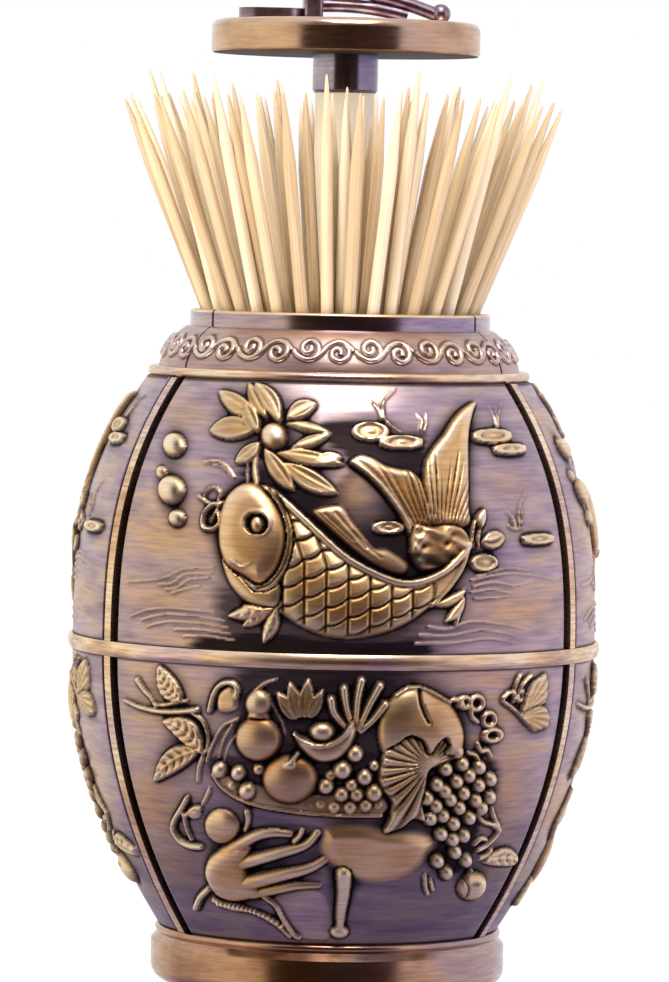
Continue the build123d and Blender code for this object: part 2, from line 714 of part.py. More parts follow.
def friction_ring():
    centre = STEM_BORE_RADIUS - RING_CLEARANCE - RING_WIRE_RADIUS
    wire = Pos(centre, POST_TOP + POST_CAP_HEIGHT / 2) * Circle(RING_WIRE_RADIUS)
    return revolve(Plane.XZ * wire, Axis.Z)


# ---------------------------------------------------------------- stem, tray and lid
def stem_tube():
    """Cream tube: bushing at the foot, wide bore above it, solid top for the lid screw."""
    plug = LID_UNDERSIDE - STEM_PLUG_LENGTH
    shoulder = TROUGH_HEIGHT - TRAY_WALL
    hole_bottom = LID_TOP - SCREW_HEAD_HEIGHT - SCREW_LENGTH
    outline = [
        (BUSHING_RADIUS, STEM_END),
        (STEM_SPIGOT_RADIUS, STEM_END),
        (STEM_SPIGOT_RADIUS, shoulder),
        (STEM_RADIUS, shoulder),
        (STEM_RADIUS, LID_UNDERSIDE),
        (SCREW_RADIUS, LID_UNDERSIDE),
        (SCREW_RADIUS, hole_bottom),
        (0, hole_bottom),
        (0, plug),
        (STEM_BORE_RADIUS, plug),
        (STEM_BORE_RADIUS, BUSHING_TOP),
        (BUSHING_RADIUS, BUSHING_TOP),
    ]
    return turned_polygon(*outline)


def tray_floor(radius):
    """Height of the tray's upper face: level in the trough, sloped outside it."""
    climb = max(radius - TRAY_TROUGH_RADIUS, 0)
    return TROUGH_HEIGHT + climb * tan(radians(TRAY_SLOPE))


def tray():
    """Dished tray: hub round the stem, trough that the feet slide into, sloped dish."""
    rise = TRAY_WALL / cos(radians(TRAY_SLOPE))
    edge = tray_floor(TRAY_RADIUS)
    underside = TROUGH_HEIGHT - TRAY_WALL
    bend = TRAY_TROUGH_RADIUS + (rise - TRAY_WALL) / tan(radians(TRAY_SLOPE))
    dish = turned_polygon(
        (STEM_SPIGOT_RADIUS, underside),
        (bend, underside),
        (TRAY_RADIUS, edge - rise),
        (TRAY_RADIUS, edge),
        (TRAY_TROUGH_RADIUS, TROUGH_HEIGHT),
        (TRAY_HUB_RADIUS, TROUGH_HEIGHT),
        (STEM_RADIUS, TROUGH_HEIGHT + TRAY_HUB_RISE),
        (STEM_RADIUS, underside),
        (STEM_SPIGOT_RADIUS, underside),
    )
    notch = Box(
        KEY_WIDTH + 2 * KEY_CLEARANCE, 2 * (KEY_DEPTH + KEY_CLEARANCE), 4 * TRAY_RADIUS
    )
    return dish - Pos(0, LINER_RADIUS - LINER_DRAFT, TROUGH_HEIGHT) * notch


def tray_clip():
    high = TROUGH_HEIGHT - TRAY_WALL
    return ring(STEM_SPIGOT_RADIUS, CLIP_RADIUS, high - CLIP_THICKNESS, high)


def stem_collar():
    low = LID_UNDERSIDE - COLLAR_LENGTH
    outer = STEM_RADIUS + COLLAR_WALL
    return turned_polygon(
        (STEM_RADIUS, low),
        (outer - COLLAR_WALL / 2, low),
        (outer, low + COLLAR_WALL),
        (outer, LID_UNDERSIDE),
        (STEM_RADIUS, LID_UNDERSIDE),
    )


def lid_plate():
    """Turned lid: rounded upper edge, small bevel below, counterbored for its screw."""
    corner = LID_TOP_ROUNDING * (1 - cos(pi / 4))
    hole = SCREW_RADIUS + SCREW_CLEARANCE
    head = SCREW_HEAD_RADIUS + SCREW_CLEARANCE
    seat = LID_TOP - SCREW_HEAD_HEIGHT
    outline = Polyline(
        (LID_RADIUS - LID_TOP_ROUNDING, LID_TOP),
        (head, LID_TOP),
        (head, seat),
        (hole, seat),
        (hole, LID_UNDERSIDE),
        (LID_RADIUS - LID_EDGE_CHAMFER, LID_UNDERSIDE),
        (LID_RADIUS, LID_UNDERSIDE + LID_EDGE_CHAMFER),
        (LID_RADIUS, LID_TOP - LID_TOP_ROUNDING),
    )
    outline += ThreePointArc(
        (LID_RADIUS, LID_TOP - LID_TOP_ROUNDING),
        (LID_RADIUS - corner, LID_TOP - corner),
        (LID_RADIUS - LID_TOP_ROUNDING, LID_TOP),
    )
    return turned(outline)


def lid_screw():
    seat = LID_TOP - SCREW_HEAD_HEIGHT
    screw = turned_polygon(
        (0, seat - SCREW_LENGTH),
        (SCREW_RADIUS, seat - SCREW_LENGTH),
        (SCREW_RADIUS, seat),
        (SCREW_HEAD_RADIUS, seat),
        (SCREW_HEAD_RADIUS, LID_TOP),
        (0, LID_TOP),
    )
    for turn in (0, 90):
        slot = Box(SCREW_HEAD_RADIUS, SCREW_DRIVE_WIDTH, 2 * SCREW_DRIVE_DEPTH)
        screw -= Pos(0, 0, LID_TOP) * (Rot(0, 0, turn) * slot)
    return screw


def strand(*points):
    """Round strand of the grip through points of the lid's middle plane."""
    path = GRIP_PLANE * Spline(*points)
    section = Plane(origin=path @ 0, z_dir=path % 0) * Circle(STRAND_RADIUS)
    return sweep(section, path)


def lid_ornament():
    """Cast grip: leaf, knot, low bridge, strand falling to a curl, and a bud on the knot."""
    leaf_slab = Pos(LEAF_CENTRE, 0, LID_TOP) * extrude(
        SlotOverall(LEAF_LENGTH, LEAF_WIDTH), LEAF_THICKNESS
    )
    knot_x = LEAF_CENTRE + LEAF_LENGTH / 2 + KNOT_WIDTH / 2 - KNOT_OVERLAP
    knot = Pos(knot_x, 0, LID_TOP + KNOT_HEIGHT / 2) * Box(KNOT_WIDTH, KNOT_DEPTH, KNOT_HEIGHT)
    knot = fillet(knot.edges(), KNOT_WIDTH / 4)
    middle = (knot_x + BRIDGE_REACH) / 2
    bridge = strand((knot_x, BRIDGE_HEIGHT), (middle, BRIDGE_HEIGHT), (BRIDGE_REACH, STRAND_RADIUS))
    fall = strand((knot_x, FALL_START), FALL_BEND, (CURL_REACH, STRAND_RADIUS))
    curl = Pos(CURL_REACH, 0, LID_TOP + CURL_RADIUS) * Sphere(CURL_RADIUS)
    low = FALL_START - STRAND_RADIUS
    high = low + BUD_HEIGHT
    side = Spline(
        (BUD_FOOT_RADIUS, low),
        (BUD_RADIUS, low + BUD_HEIGHT / 3),
        (BUD_FOOT_RADIUS, high - BUD_HEIGHT / 4),
        (BUD_TIP_RADIUS, high),
    )
    axis = Polyline((BUD_TIP_RADIUS, high), (0, high), (0, low), (BUD_FOOT_RADIUS, low))
    bud = Pos(BUD_CENTRE, 0, LID_TOP) * turned(side + axis)
    return leaf_slab + knot + bridge + fall + curl + bud


# ---------------------------------------------------------------- toothpicks
def wobble(index, kind):
    """Even but unordered value between -1 and 1 for each toothpick."""
    return sin(radians(WOBBLE_STEP * (index + 1) * (kind + 1) + WOBBLE_OFFSET * kind))


def toothpick():
    """One toothpick, standing on its point at the origin."""
    return turned_polygon(
        (0, 0),
        (PICK_TIP_RADIUS, 0),
        (PICK_RADIUS, PICK_TAPER),
        (PICK_RADIUS, PICK_LENGTH - PICK_TAPER),
        (PICK_TIP_RADIUS, PICK_LENGTH),
        (0, PICK_LENGTH),
    )


def leaning(pick, azimuth, foot_radius, rim_radius, turn):
    """A toothpick with its foot in the dish, leaning out to rim_radius at the rim."""
    foot_height = tray_floor(foot_radius) + PICK_TIP_RADIUS
    lean = degrees(atan((rim_radius - foot_radius) / (RIM_HEIGHT - foot_height)))
    stand = Pos(foot_radius, 0, foot_height) * Rot(0, lean, 0) * Rot(turn, 0, 0)
    return Rot(0, 0, FRONT + azimuth) * stand * pick


def outer_rim_radius():
    """Radius of an outer toothpick's axis at the rim, where it leans on the neck."""
    lean = atan((NECK_BORE_RADIUS - LOW_FOOT_RADIUS) / TRAY_DEPTH_BELOW_RIM)
    return NECK_BORE_RADIUS - PICK_RADIUS / cos(lean) - PICK_GAP


def toothpicks():
    """Three groups: low feet in the trough, high feet on the dish, and the inner ring."""
    pick = toothpick()
    groups = {"low": [], "high": [], "inner": []}
    rim = outer_rim_radius()
    for i in range(OUTER_PLACES):
        azimuth = 360 * i / OUTER_PLACES
        turn = wobble(i, 1)
        if i % HIGH_EVERY == HIGH_EVERY - 1:
            foot = HIGH_FOOT_RADIUS + HIGH_FOOT_SPREAD * wobble(i, 0)
            turn *= PICK_TURN
            groups["high"].append(leaning(pick, azimuth, foot, rim - HIGH_RIM_INSET, turn))
        else:
            foot = LOW_FOOT_RADIUS + LOW_FOOT_SPREAD * (1 + wobble(i, 0)) / 2
            turn *= LOW_PICK_TURN
            groups["low"].append(leaning(pick, azimuth, foot, rim, turn))
    for i in range(INNER_COUNT):
        azimuth = 360 * (i + 0.5) / INNER_COUNT
        foot = INNER_FOOT_RADIUS + INNER_FOOT_SPREAD * (1 + wobble(i, 2)) / 2
        inset = INNER_RIM_INSET + INNER_RIM_SPREAD * (1 + wobble(i, 3)) / 2
        turn = PICK_TURN * wobble(i, 4)
        groups["inner"].append(leaning(pick, azimuth, foot, rim - inset, turn))
    for name, picks in groups.items():
        yield node(Compound(children=picks), f"toothpicks_{name}")


# ---------------------------------------------------------------- write the nodes
def all_nodes():
    yield from staves_and_ribs()
    single = [
        shoulder_hoop, equator_hoop, foot_ring, base_plate, base_pad, tie_washer, tie_nut,
        liner_cup, guide_post, post_cap, friction_ring, stem_tube, tray, tray_clip,
        stem_collar, lid_plate, lid_screw, lid_ornament,
    ]
    for make in single:
        yield node(make(), make.__name__)
    yield from toothpicks()


os.makedirs("parts", exist_ok=True)
for name, solid in all_nodes():
    export_step(solid, f"parts/{name}.step")
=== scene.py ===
"""Looks of the pull-up toothpick dispenser: relief staves, scroll frieze, toothpicks, finishes, studio."""

import math

import bpy
import numpy as np
from mathutils import Matrix, Vector


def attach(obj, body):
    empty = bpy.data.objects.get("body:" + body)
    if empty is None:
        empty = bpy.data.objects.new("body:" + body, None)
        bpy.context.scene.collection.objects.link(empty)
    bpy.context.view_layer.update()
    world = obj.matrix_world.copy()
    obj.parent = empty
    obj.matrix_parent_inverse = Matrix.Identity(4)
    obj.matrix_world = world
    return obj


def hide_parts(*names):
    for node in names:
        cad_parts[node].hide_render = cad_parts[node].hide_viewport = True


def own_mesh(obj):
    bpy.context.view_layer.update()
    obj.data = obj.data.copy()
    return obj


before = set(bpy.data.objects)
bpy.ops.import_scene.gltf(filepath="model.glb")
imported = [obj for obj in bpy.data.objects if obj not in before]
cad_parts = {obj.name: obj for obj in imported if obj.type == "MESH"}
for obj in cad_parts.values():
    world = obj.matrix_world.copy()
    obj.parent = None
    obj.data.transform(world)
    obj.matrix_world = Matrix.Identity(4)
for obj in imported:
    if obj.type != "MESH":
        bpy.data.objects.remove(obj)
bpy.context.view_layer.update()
MM = 0.001


# ---------------------------------------------------------------- relief drawing
PITCH = 0.15          # spacing of the drawn relief, mm


def smooth_line(points, closed=False, count=8):
    """Points of a smooth curve through the given ones."""
    p = np.array(points, float)
    n = len(p)
    out = []
    spans = n if closed else n - 1
    for i in range(spans):
        a, b, c, d = (p[(i + k) % n] if closed else p[min(max(i + k, 0), n - 1)] for k in (-1, 0, 1, 2))
        for j in range(count):
            t = j / count
            out.append(0.5 * (2 * b + (c - a) * t + (2 * a - 5 * b + 4 * c - d) * t**2
                              + (3 * b - a - 3 * c + d) * t**3))
    if not closed:
        out.append(p[-1])
    return np.array(out)


class Relief:
    """Cast relief of one stave, drawn flat: u across, z up, heights in mm."""

    def __init__(self, half_width, low, high):
        self.u = np.arange(-half_width, half_width + PITCH, PITCH)
        self.z = np.arange(low, high + PITCH, PITCH)
        self.U, self.Z = np.meshgrid(self.u, self.z)
        self.height = np.zeros_like(self.U)
        self.shade = np.zeros_like(self.U)
        self.warm = np.zeros_like(self.U)

    def window(self, points, margin):
        p = np.array(points, float).reshape(-1, 2)
        lo, hi = p.min(0) - margin, p.max(0) + margin
        c = np.searchsorted(self.u, (lo[0], hi[0]))
        r = np.searchsorted(self.z, (lo[1], hi[1]))
        return slice(r[0], r[1]), slice(c[0], c[1])

    def near(self, line, w):
        """Distance to an open line, and the share of its length at the nearest point."""
        U, Z = self.U[w], self.Z[w]
        best = np.full(U.shape, 1e9)
        along = np.zeros(U.shape)
        seg = np.hypot(*(line[1:] - line[:-1]).T)
        total = seg.sum()
        start = 0.0
        for a, b, length in zip(line[:-1], line[1:], seg):
            if length > 0:
                t = np.clip(((U - a[0]) * (b[0] - a[0]) + (Z - a[1]) * (b[1] - a[1])) / length**2, 0, 1)
                d = np.hypot(U - a[0] - t * (b[0] - a[0]), Z - a[1] - t * (b[1] - a[1]))
                closer = d < best
                best = np.where(closer, d, best)
                along = np.where(closer, (start + t * length) / total, along)
            start += length
        return best, along

    def inside(self, outline, w):
        """Distance in from a closed outline's edge, 0 outside it."""
        U, Z = self.U[w], self.Z[w]
        ring = np.vstack([outline, outline[:1]])
        d, _ = self.near(ring, w)
        odd = np.zeros(U.shape, bool)
        for a, b in zip(ring[:-1], ring[1:]):
            crosses = (a[1] > Z) != (b[1] > Z)
            with np.errstate(divide="ignore", invalid="ignore"):
                at = a[0] + (Z - a[1]) * (b[0] - a[0]) / (b[1] - a[1])
            odd ^= crosses & (U < at)
        return np.where(odd, d, 0.0)

    def lay(self, w, h, mask, over, warm):
        """Puts a form on the relief: over hides what is under it, otherwise the higher shows."""
        old = self.height[w]
        new = np.where(mask, h if over else np.maximum(old, h), old)
        changed = mask if over else mask & (new != old)
        self.height[w] = new
        self.warm[w] = np.where(changed, warm, self.warm[w])
        self.shade[w] = np.where(changed, 0.0, self.shade[w])

    def stain_and_shade(self, w, dark):
        """Dark patina and painted shade, where it is darker than what is there."""
        self.shade[w] = np.maximum(self.shade[w], dark)

    def ball(self, u, z, ru, rz=None, height=1.0, turn=0.0, base=0.0, warm=0.0, over=False, flat=2.0,
             dark_reflection=0.0):
        """Round form: fruit, berry, bubble, eye. Its last argument paints a dark reflection of the room's
        dark front on its right side.
        """
        rz = rz or ru
        w = self.window([(u, z)], max(ru, rz) + 0.3)
        du, dz = self.U[w] - u, self.Z[w] - z
        c, s = math.cos(math.radians(turn)), math.sin(math.radians(turn))
        r = ((du * c + dz * s) / ru)**2 + ((dz * c - du * s) / rz)**2
        self.lay(w, base + height * np.sqrt(np.clip(1 - r, 0, 1)) ** (2 / flat), r < 1, over, warm)
        # painted reflection: a dark crescent on the right side of the form
        dark = dark_reflection * np.exp(-((du / ru - 0.55) / 0.27)**2 - ((dz / rz + 0.1) / 0.6)**2)
        self.stain_and_shade(w, np.where(r < 1, dark, 0))

    def ring(self, u, z, ru, rz, width, height=0.5, base=0.0, warm=0.0):
        """Raised ring: eye rim, curl, rim of a lily pad."""
        w = self.window([(u, z)], max(ru, rz) + width)
        r = np.hypot((self.U[w] - u) / ru, (self.Z[w] - z) / rz)
        d = np.abs(r - 1) * min(ru, rz) / (width / 2)
        self.lay(w, base + height * np.sqrt(np.clip(1 - d**2, 0, 1)), d < 1, False, warm)

    def stroke(self, points, width, end):
        """Window round a smooth line, and in it the distance to the line and its half width there."""
        line = smooth_line(points) if len(points) > 2 else np.array(points, float)
        end = width if end is None else end
        w = self.window(points, max(width, end) / 2 + 0.5)
        d, along = self.near(line, w)
        return w, d, (width + (end - width) * along) / 2

    def cord(self, points, width, height, end=None, base=0.0, warm=0.0, over=False):
        """Rounded line: stem, tendril, wave, finger. end is the width at its far end."""
        w, d, half = self.stroke(points, width, end)
        t = d / half
        self.lay(w, base + height * half / (width / 2) * np.sqrt(np.clip(1 - t**2, 0, 1)), t < 1, over,
                 warm)

    def patch(self, outline, height, edge, warm=0.0, over=False, dish=0.0, soft=False):
        """Form with a rounded edge that rises to height over the distance edge."""
        line = smooth_line(outline, closed=True, count=6)
        w = self.window(line, 0.3)
        d = self.inside(line, w)
        t = np.clip(d / edge, 0, 1)
        rise = t * t * (3 - 2 * t) if soft else np.sqrt(1 - (1 - t)**2)
        h = height * rise - dish * np.clip((d - edge) / edge, 0, 1)
        self.lay(w, h, d > 0, over, warm)
        return w, d

    def leaf(self, foot, tip, width, height, bend=0.0, warm=0.0, cup=0.0, veins=0, depth=0.15, rib=0.0,
             over=False, blunt=1.0, rib_shade=0.0):
        """Pointed leaf or petal. Its last argument paints shade in two streaks beside its rib."""
        a, b = np.array(foot, float), np.array(tip, float)
        length = np.hypot(*(b - a))
        along = (b - a) / length
        w = self.window([a, b], width + abs(bend))
        du, dz = self.U[w] - a[0], self.Z[w] - a[1]
        s = (du * along[0] + dz * along[1]) / length
        inner = np.clip(s, 0, 1)
        across = dz * along[0] - du * along[1] - bend * 4 * inner * (1 - inner)
        half = width / 2 * np.sin(np.pi * inner**blunt) ** 0.75 + 1e-6
        t = np.abs(across) / half
        mask = (s > 0) & (s < 1) & (t < 1)
        rim = np.clip((1 - t) * half / 0.45, 0, 1)
        cupped = np.sqrt(1 - (1 - rim)**2) * (1 - cup * (1 - t**2))
        h = height * (cupped if cup else np.sqrt(np.clip(1 - t**2, 0, 1)))
        if rib:
            h = h + rib * np.exp(-(across / 0.22)**2) * rim
        if veins:
            phase = (inner * veins - np.abs(across) / half * 0.9) % 1.0
            h = h - depth * np.exp(-((phase - 0.5) / 0.16)**2) * rim
        self.lay(w, np.clip(h, 0.02, None), mask, over, warm)
        # painted shade in two streaks beside the rib
        dark = rib_shade * np.exp(-((t - 0.46) / 0.24)**2) * np.sqrt(np.sin(np.pi * inner))
        self.stain_and_shade(w, np.where(mask, dark, 0))

    def carve(self, points, width, depth, end=None):
        """Groove cut into what is there."""
        w, d, half = self.stroke(points, width, end)
        cut = np.clip(1 - (d / half)**2, 0, 1)
        self.height[w] -= depth * cut
        self.stain_and_shade(w, 0.9 * cut)

    def darken(self, outline, soft, strength, lighter=(), on_relief=0.0):
        """Pool of painted shade and dark patina on the ground, streaked sideways and thinner round the
        lighter spots.

        on_relief is its share in the hollows of the relief that it covers.
        """
        line = smooth_line(outline, closed=True, count=6)
        w = self.window(line, 3 * soft)
        pool = blur(np.clip(self.inside(line, w) / PITCH, 0, 1), soft)
        streaks = np.sin(5.1 * self.Z[w] + 1.7 * np.sin(0.9 * self.Z[w]))
        pool = np.clip(pool * 1.5 - 0.2 + 0.12 * streaks, 0, 1)
        for u, z, ru, rz, amount in lighter:
            pool *= 1 - amount * np.exp(-((self.U[w] - u) / ru)**2 - ((self.Z[w] - z) / rz)**2)
        stands = np.clip((self.height - blur(self.height, 1.2))[w] / 0.3 + 0.15, 0, 1)
        self.stain_and_shade(w, strength * pool * np.where(self.height[w] < 0.05, 1.0, on_relief * (1 - stands)))


def blur(field, radius):
    """Gaussian blur with a radius in mm."""
    n = int(3 * radius / PITCH)
    k = np.exp(-(np.arange(-n, n + 1) * PITCH / radius)**2 / 2)
    k /= k.sum()
    out = np.pad(field, n, mode="edge")
    out = np.apply_along_axis(np.convolve, 0, out, k, "valid")
    return np.apply_along_axis(np.convolve, 1, out, k, "valid")


def draw_lotus(r):
    r.cord([(-13.9, 82), (-14.1, 79.6), (-13.7, 77.2)], 0.9, 0.45)
    r.cord([(-14.8, 81.5), (-15.3, 79.4), (-15.2, 77.6)], 0.35, 0.3)
    r.cord([(-22.5, 80.3), (-20.2, 80.5), (-18.6, 79.8), (-17.4, 78.3)], 0.5, 0.35)
    r.cord([(-20.8, 80.0), (-19.2, 79.7), (-18.0, 78.6)], 0.3, 0.25)
    petals = (
        # foot, tip, width, height, bend
        (-13.7, 85.3, -21.7, 84.7, 3.4, 0.75, -0.3),
        (-13.2, 83.4, -17.2, 80.3, 2.3, 0.8, 0.2),
        (-12.6, 82.6, -8.0, 76.5, 2.7, 0.85, -0.2),
        (-9.8, 80.6, -1.6, 76.3, 3.0, 0.85, -0.3),
        (-10.9, 81.9, -0.7, 80.5, 2.3, 0.8, 0.15),
        (-8.7, 82.6, -2.7, 84.8, 1.7, 0.9, 0.0),
        (-9.4, 86.2, -2.6, 84.9, 1.5, 0.75, 0.2),
        (-9.3, 86.8, -4.7, 89.2, 2.6, 0.8, 0.3),
        (-13.6, 87.3, -20.4, 90.5, 2.9, 0.85, 0.25),
        (-12.2, 86.9, -15.2, 92.0, 2.2, 0.8, 0.3),
        (-10.2, 86.2, -14.2, 91.9, 2.8, 0.95, -0.6),
        (-13.4, 84.8, -15.6, 89.0, 2.6, 1.0, 0.3),
    )
    for fu, fz, tu, tz, width, height, bend in petals:
        rib_shade = 0.35 if tu < -16 else 0.8      # the petals at the left get less painted shade
        r.leaf((fu, fz), (tu, tz), width, height * 1.1, bend, cup=0.4, rib=0.12, warm=0.1, rib_shade=rib_shade)
    r.leaf((-5.4, 80.6), (-1.0, 81.6), 1.9, 1.0, 0.25, cup=0.4, rib=0.1)
    r.ball(-11.2, 84.3, 2.0, 1.95, 1.45, warm=0.9, over=True)


def draw_bubbles(r):
    # each bubble gets a painted dark reflection on its right side
    for u, z, ru, rz, h in ((-28.3, 82.5, 2.3, 1.75, 1.25), (-30.6, 78.5, 1.15, 0.95, 0.7),
                            (-28.3, 76.0, 2.6, 2.1, 1.4), (-27.0, 72.0, 1.55, 1.25, 1.0)):
        r.ball(u, z, ru, rz, h, dark_reflection=0.9)


BACK = ((-12.0, 76.9), (-9.5, 75.1), (-6.3, 72.6), (-4.0, 70.5), (-1.0, 68.0), (1.7, 66.3), (5.0, 64.8),
        (8.0, 64.1), (11.0, 64.5), (14.0, 65.8), (16.6, 67.9), (18.6, 70.0))
BELLY = ((-12.0, 60.2), (-9.5, 58.6), (-6.5, 56.9), (-3.5, 55.8), (0.0, 55.4), (3.5, 55.9), (7.0, 57.0),
         (10.0, 58.6), (13.0, 61.0), (15.6, 63.8), (17.4, 66.2), (18.6, 69.0))


RAY_SPACING = 4.3     # degrees between the grooves of the tail


def draw_tail(r):
    upper = [(11.2, 72.2), (10.9, 76.0), (10.8, 79.0), (11.2, 81.4), (12.4, 83.2), (14.0, 84.9),
             (15.6, 87.0), (17.6, 88.7), (20.3, 89.7), (19.3, 87.4), (18.5, 84.5), (18.3, 80.0),
             (18.2, 75.0), (17.9, 71.8)]
    lower = [(9.0, 70.4), (7.9, 73.0), (6.2, 75.4), (4.2, 77.9), (2.3, 79.5), (0.0, 80.9), (1.3, 82.0),
             (3.2, 81.7), (5.2, 80.6), (7.2, 80.1), (8.9, 79.8), (10.3, 78.7), (11.2, 76.8), (12.6, 72.2)]
    for outline, height in ((lower, 1.0), (upper, 1.15)):
        w, d = r.patch(outline, height, 1.1, warm=0.35 if height > 1.1 else 0.75, dish=0.12)
        U, Z = r.U[w] - 13.2, r.Z[w] - 66.0
        angle = np.degrees(np.arctan2(U, Z))
        reach = np.hypot(U, Z)
        fade = np.clip((15.0 + 2.5 * np.sin(angle * 1.9) - reach) / 3.0, 0, 1) * np.clip(d / 0.5, 0, 1)
        groove = np.exp(-(((angle / RAY_SPACING) % 1.0 - 0.5) / 0.17)**2)
        r.height[w] -= fade * 0.34 * groove
        r.stain_and_shade(w, 0.95 * fade * groove)
    r.cord([(9.2, 70.2), (7.9, 73.0), (6.2, 75.4), (4.2, 77.8), (2.3, 79.5), (0.3, 80.8)], 0.7, 0.35,
           base=0.75, warm=0.9)


SCALE_WIDTH, SCALE_HEIGHT = 3.12, 2.7


def draw_fish_body(r):
    back, belly = smooth_line(BACK), smooth_line(BELLY)
    w = r.window(np.vstack([back, belly]), 0.3)
    U, Z = r.U[w], r.Z[w]
    top = np.interp(U, back[:, 0], back[:, 1])
    low = np.interp(U, belly[:, 0], belly[:, 1])
    t = (Z - low) / (top - low)
    mask = (t > 0) & (t < 1) & (U > -12.0) & (U < 18.6)
    tall = np.interp(U, (-12, -4, 6, 14, 18.6), (1.55, 1.6, 1.35, 0.95, 0.75))
    round_form = np.sqrt(np.clip(1 - np.abs(2 * t - 1)**2.6, 0, 1))
    h = tall * round_form
    # every other column of scales is set half a row up
    column = (U + 0.35 * np.clip(Z - 66, 0, 9) + 0.1) / SCALE_WIDTH
    k = np.floor(column)
    x = column - k
    row = (Z - 56.0 - SCALE_HEIGHT / 2 * (k % 2) + 1.9 * x * (1 - x) - SCALE_HEIGHT / 2 * x) / SCALE_HEIGHT
    y = row - np.floor(row)
    below_back = np.clip((top - Z - 1.15) / 0.35, 0, 1)
    tailward = np.clip((13.5 - U) / 2, 0, 1)
    on = below_back * tailward * np.clip((Z - low) / 0.8, 0, 1)
    side = np.exp(-(np.minimum(x, 1 - x) * SCALE_WIDTH / 0.21)**2)
    arc = np.exp(-(np.minimum(y, 1 - y) * SCALE_HEIGHT / 0.23)**2)
    cut = np.maximum(side, arc)
    h = h - on * 0.36 * cut + on * 0.22 * (0.55 - y) + on * 0.10 * np.sin(np.pi * x)
    r.lay(w, np.clip(h, 0.03, None), mask, True, 0.75)
    flank = np.interp(t, (0, 0.16, 0.3), (0.2, 0.6, 1))
    warm = np.interp(top - Z, (0, 1.2, 4.5, 9), (0.0, 0.1, 0.55, 0.85)) * flank
    r.warm[w] = np.where(mask, warm, r.warm[w])
    # black in the scale grooves, and painted shade along the underside of the belly
    dark = np.maximum(0.97 * on * np.clip(cut * 1.3, 0, 1), np.interp(t, (0, 0.1, 0.2), (0.45, 0.15, 0)))
    r.shade[w] = np.where(mask, dark, r.shade[w])
    # pale line of the back and the fins along the end of the belly
    r.cord([(-11.4, 76.4), (-9.3, 74.9), (-6.3, 72.3), (-4.0, 70.2), (-1.0, 67.6), (1.7, 65.9),
            (5.0, 64.4), (8.0, 63.6), (11.0, 64.0), (14.0, 65.3), (16.4, 67.2), (18.0, 69.0)], 1.0, 0.35,
           base=1.0, warm=0.0)
    r.cord([(17.9, 68.6), (16.8, 65.6), (14.6, 62.6), (12.2, 60.3)], 1.0, 0.5, end=0.5, base=0.6, warm=0.15)
    r.leaf((12.3, 60.5), (17.9, 62.8), 1.6, 0.7, -0.7, warm=0.3)
    r.leaf((14.5, 58.0), (17.6, 61.6), 1.7, 0.7, -0.5, warm=0.3)
    r.cord([(17.3, 61.5), (16.9, 59.4), (16.3, 57.7)], 0.7, 0.5)


def draw_tail_root(r):
    outline = [(9.0, 67.4), (8.8, 70.2), (9.5, 72.1), (12.2, 71.9), (14.4, 72.2), (17.0, 71.6),
               (18.4, 69.6), (17.6, 67.4), (14.4, 66.1), (10.8, 65.4)]
    w, d = r.patch(outline, 1.15, 0.9, warm=0.4, over=True)
    U, Z = r.U[w], r.Z[w]
    crumple = np.sin(2.1 * (Z - 0.32 * U) + 1.3 * np.sin(1.5 * U)) + 0.6 * np.sin(3.4 * (Z + 0.4 * U) + 0.9)
    r.height[w] += np.where(d > 0, 0.15 * crumple * np.clip(d / 0.7, 0, 1), 0)
    # painted shade under the tail root and in the troughs of its creases
    under = np.clip((68.8 - Z) / 1.2, 0, 1) * 0.8 * np.clip((Z - 65.9) / 0.4, 0, 1)
    dark = np.clip(-crumple - 0.3, 0, 1) * 0.4 + under
    r.shade[w] = np.where(d > 0, np.clip(dark, 0, 0.9), r.shade[w])


def draw_dorsal_fin(r):
    w, d = r.patch([(-5.4, 73.7), (-2.8, 74.7), (-0.9, 74.5), (0.2, 72.8), (1.9, 70.6), (3.6, 68.7),
                    (5.8, 68.4), (8.7, 66.4), (7.6, 64.8), (4.0, 66.0), (0.2, 68.7), (-3.0, 71.4)], 0.75,
                   1.2, warm=0.55)
    # painted shade over the fin's right part, strongest near its edge
    dark = np.clip((r.U[w] - 2.2) / 2, 0, 0.8) * np.clip(1 - d / 1.6, 0.2, 1)
    r.shade[w] = np.where(d > 0, dark, r.shade[w])
    for a, b in (((-3.6, 73.4), (0.6, 69.6)), ((-2.0, 73.6), (2.4, 68.6)), ((0.5, 71.0), (4.6, 67.2))):
        r.carve([a, b], 0.4, 0.16)


EYE = (-13.3, 71.5)
PUPIL = (-13.35, 71.5)


def oval(r, w, centre, half_width, half_height):
    """Distance from an oval's centre, 1 at its edge."""
    return np.hypot((r.U[w] - centre[0]) / half_width, (r.Z[w] - centre[1]) / half_height)


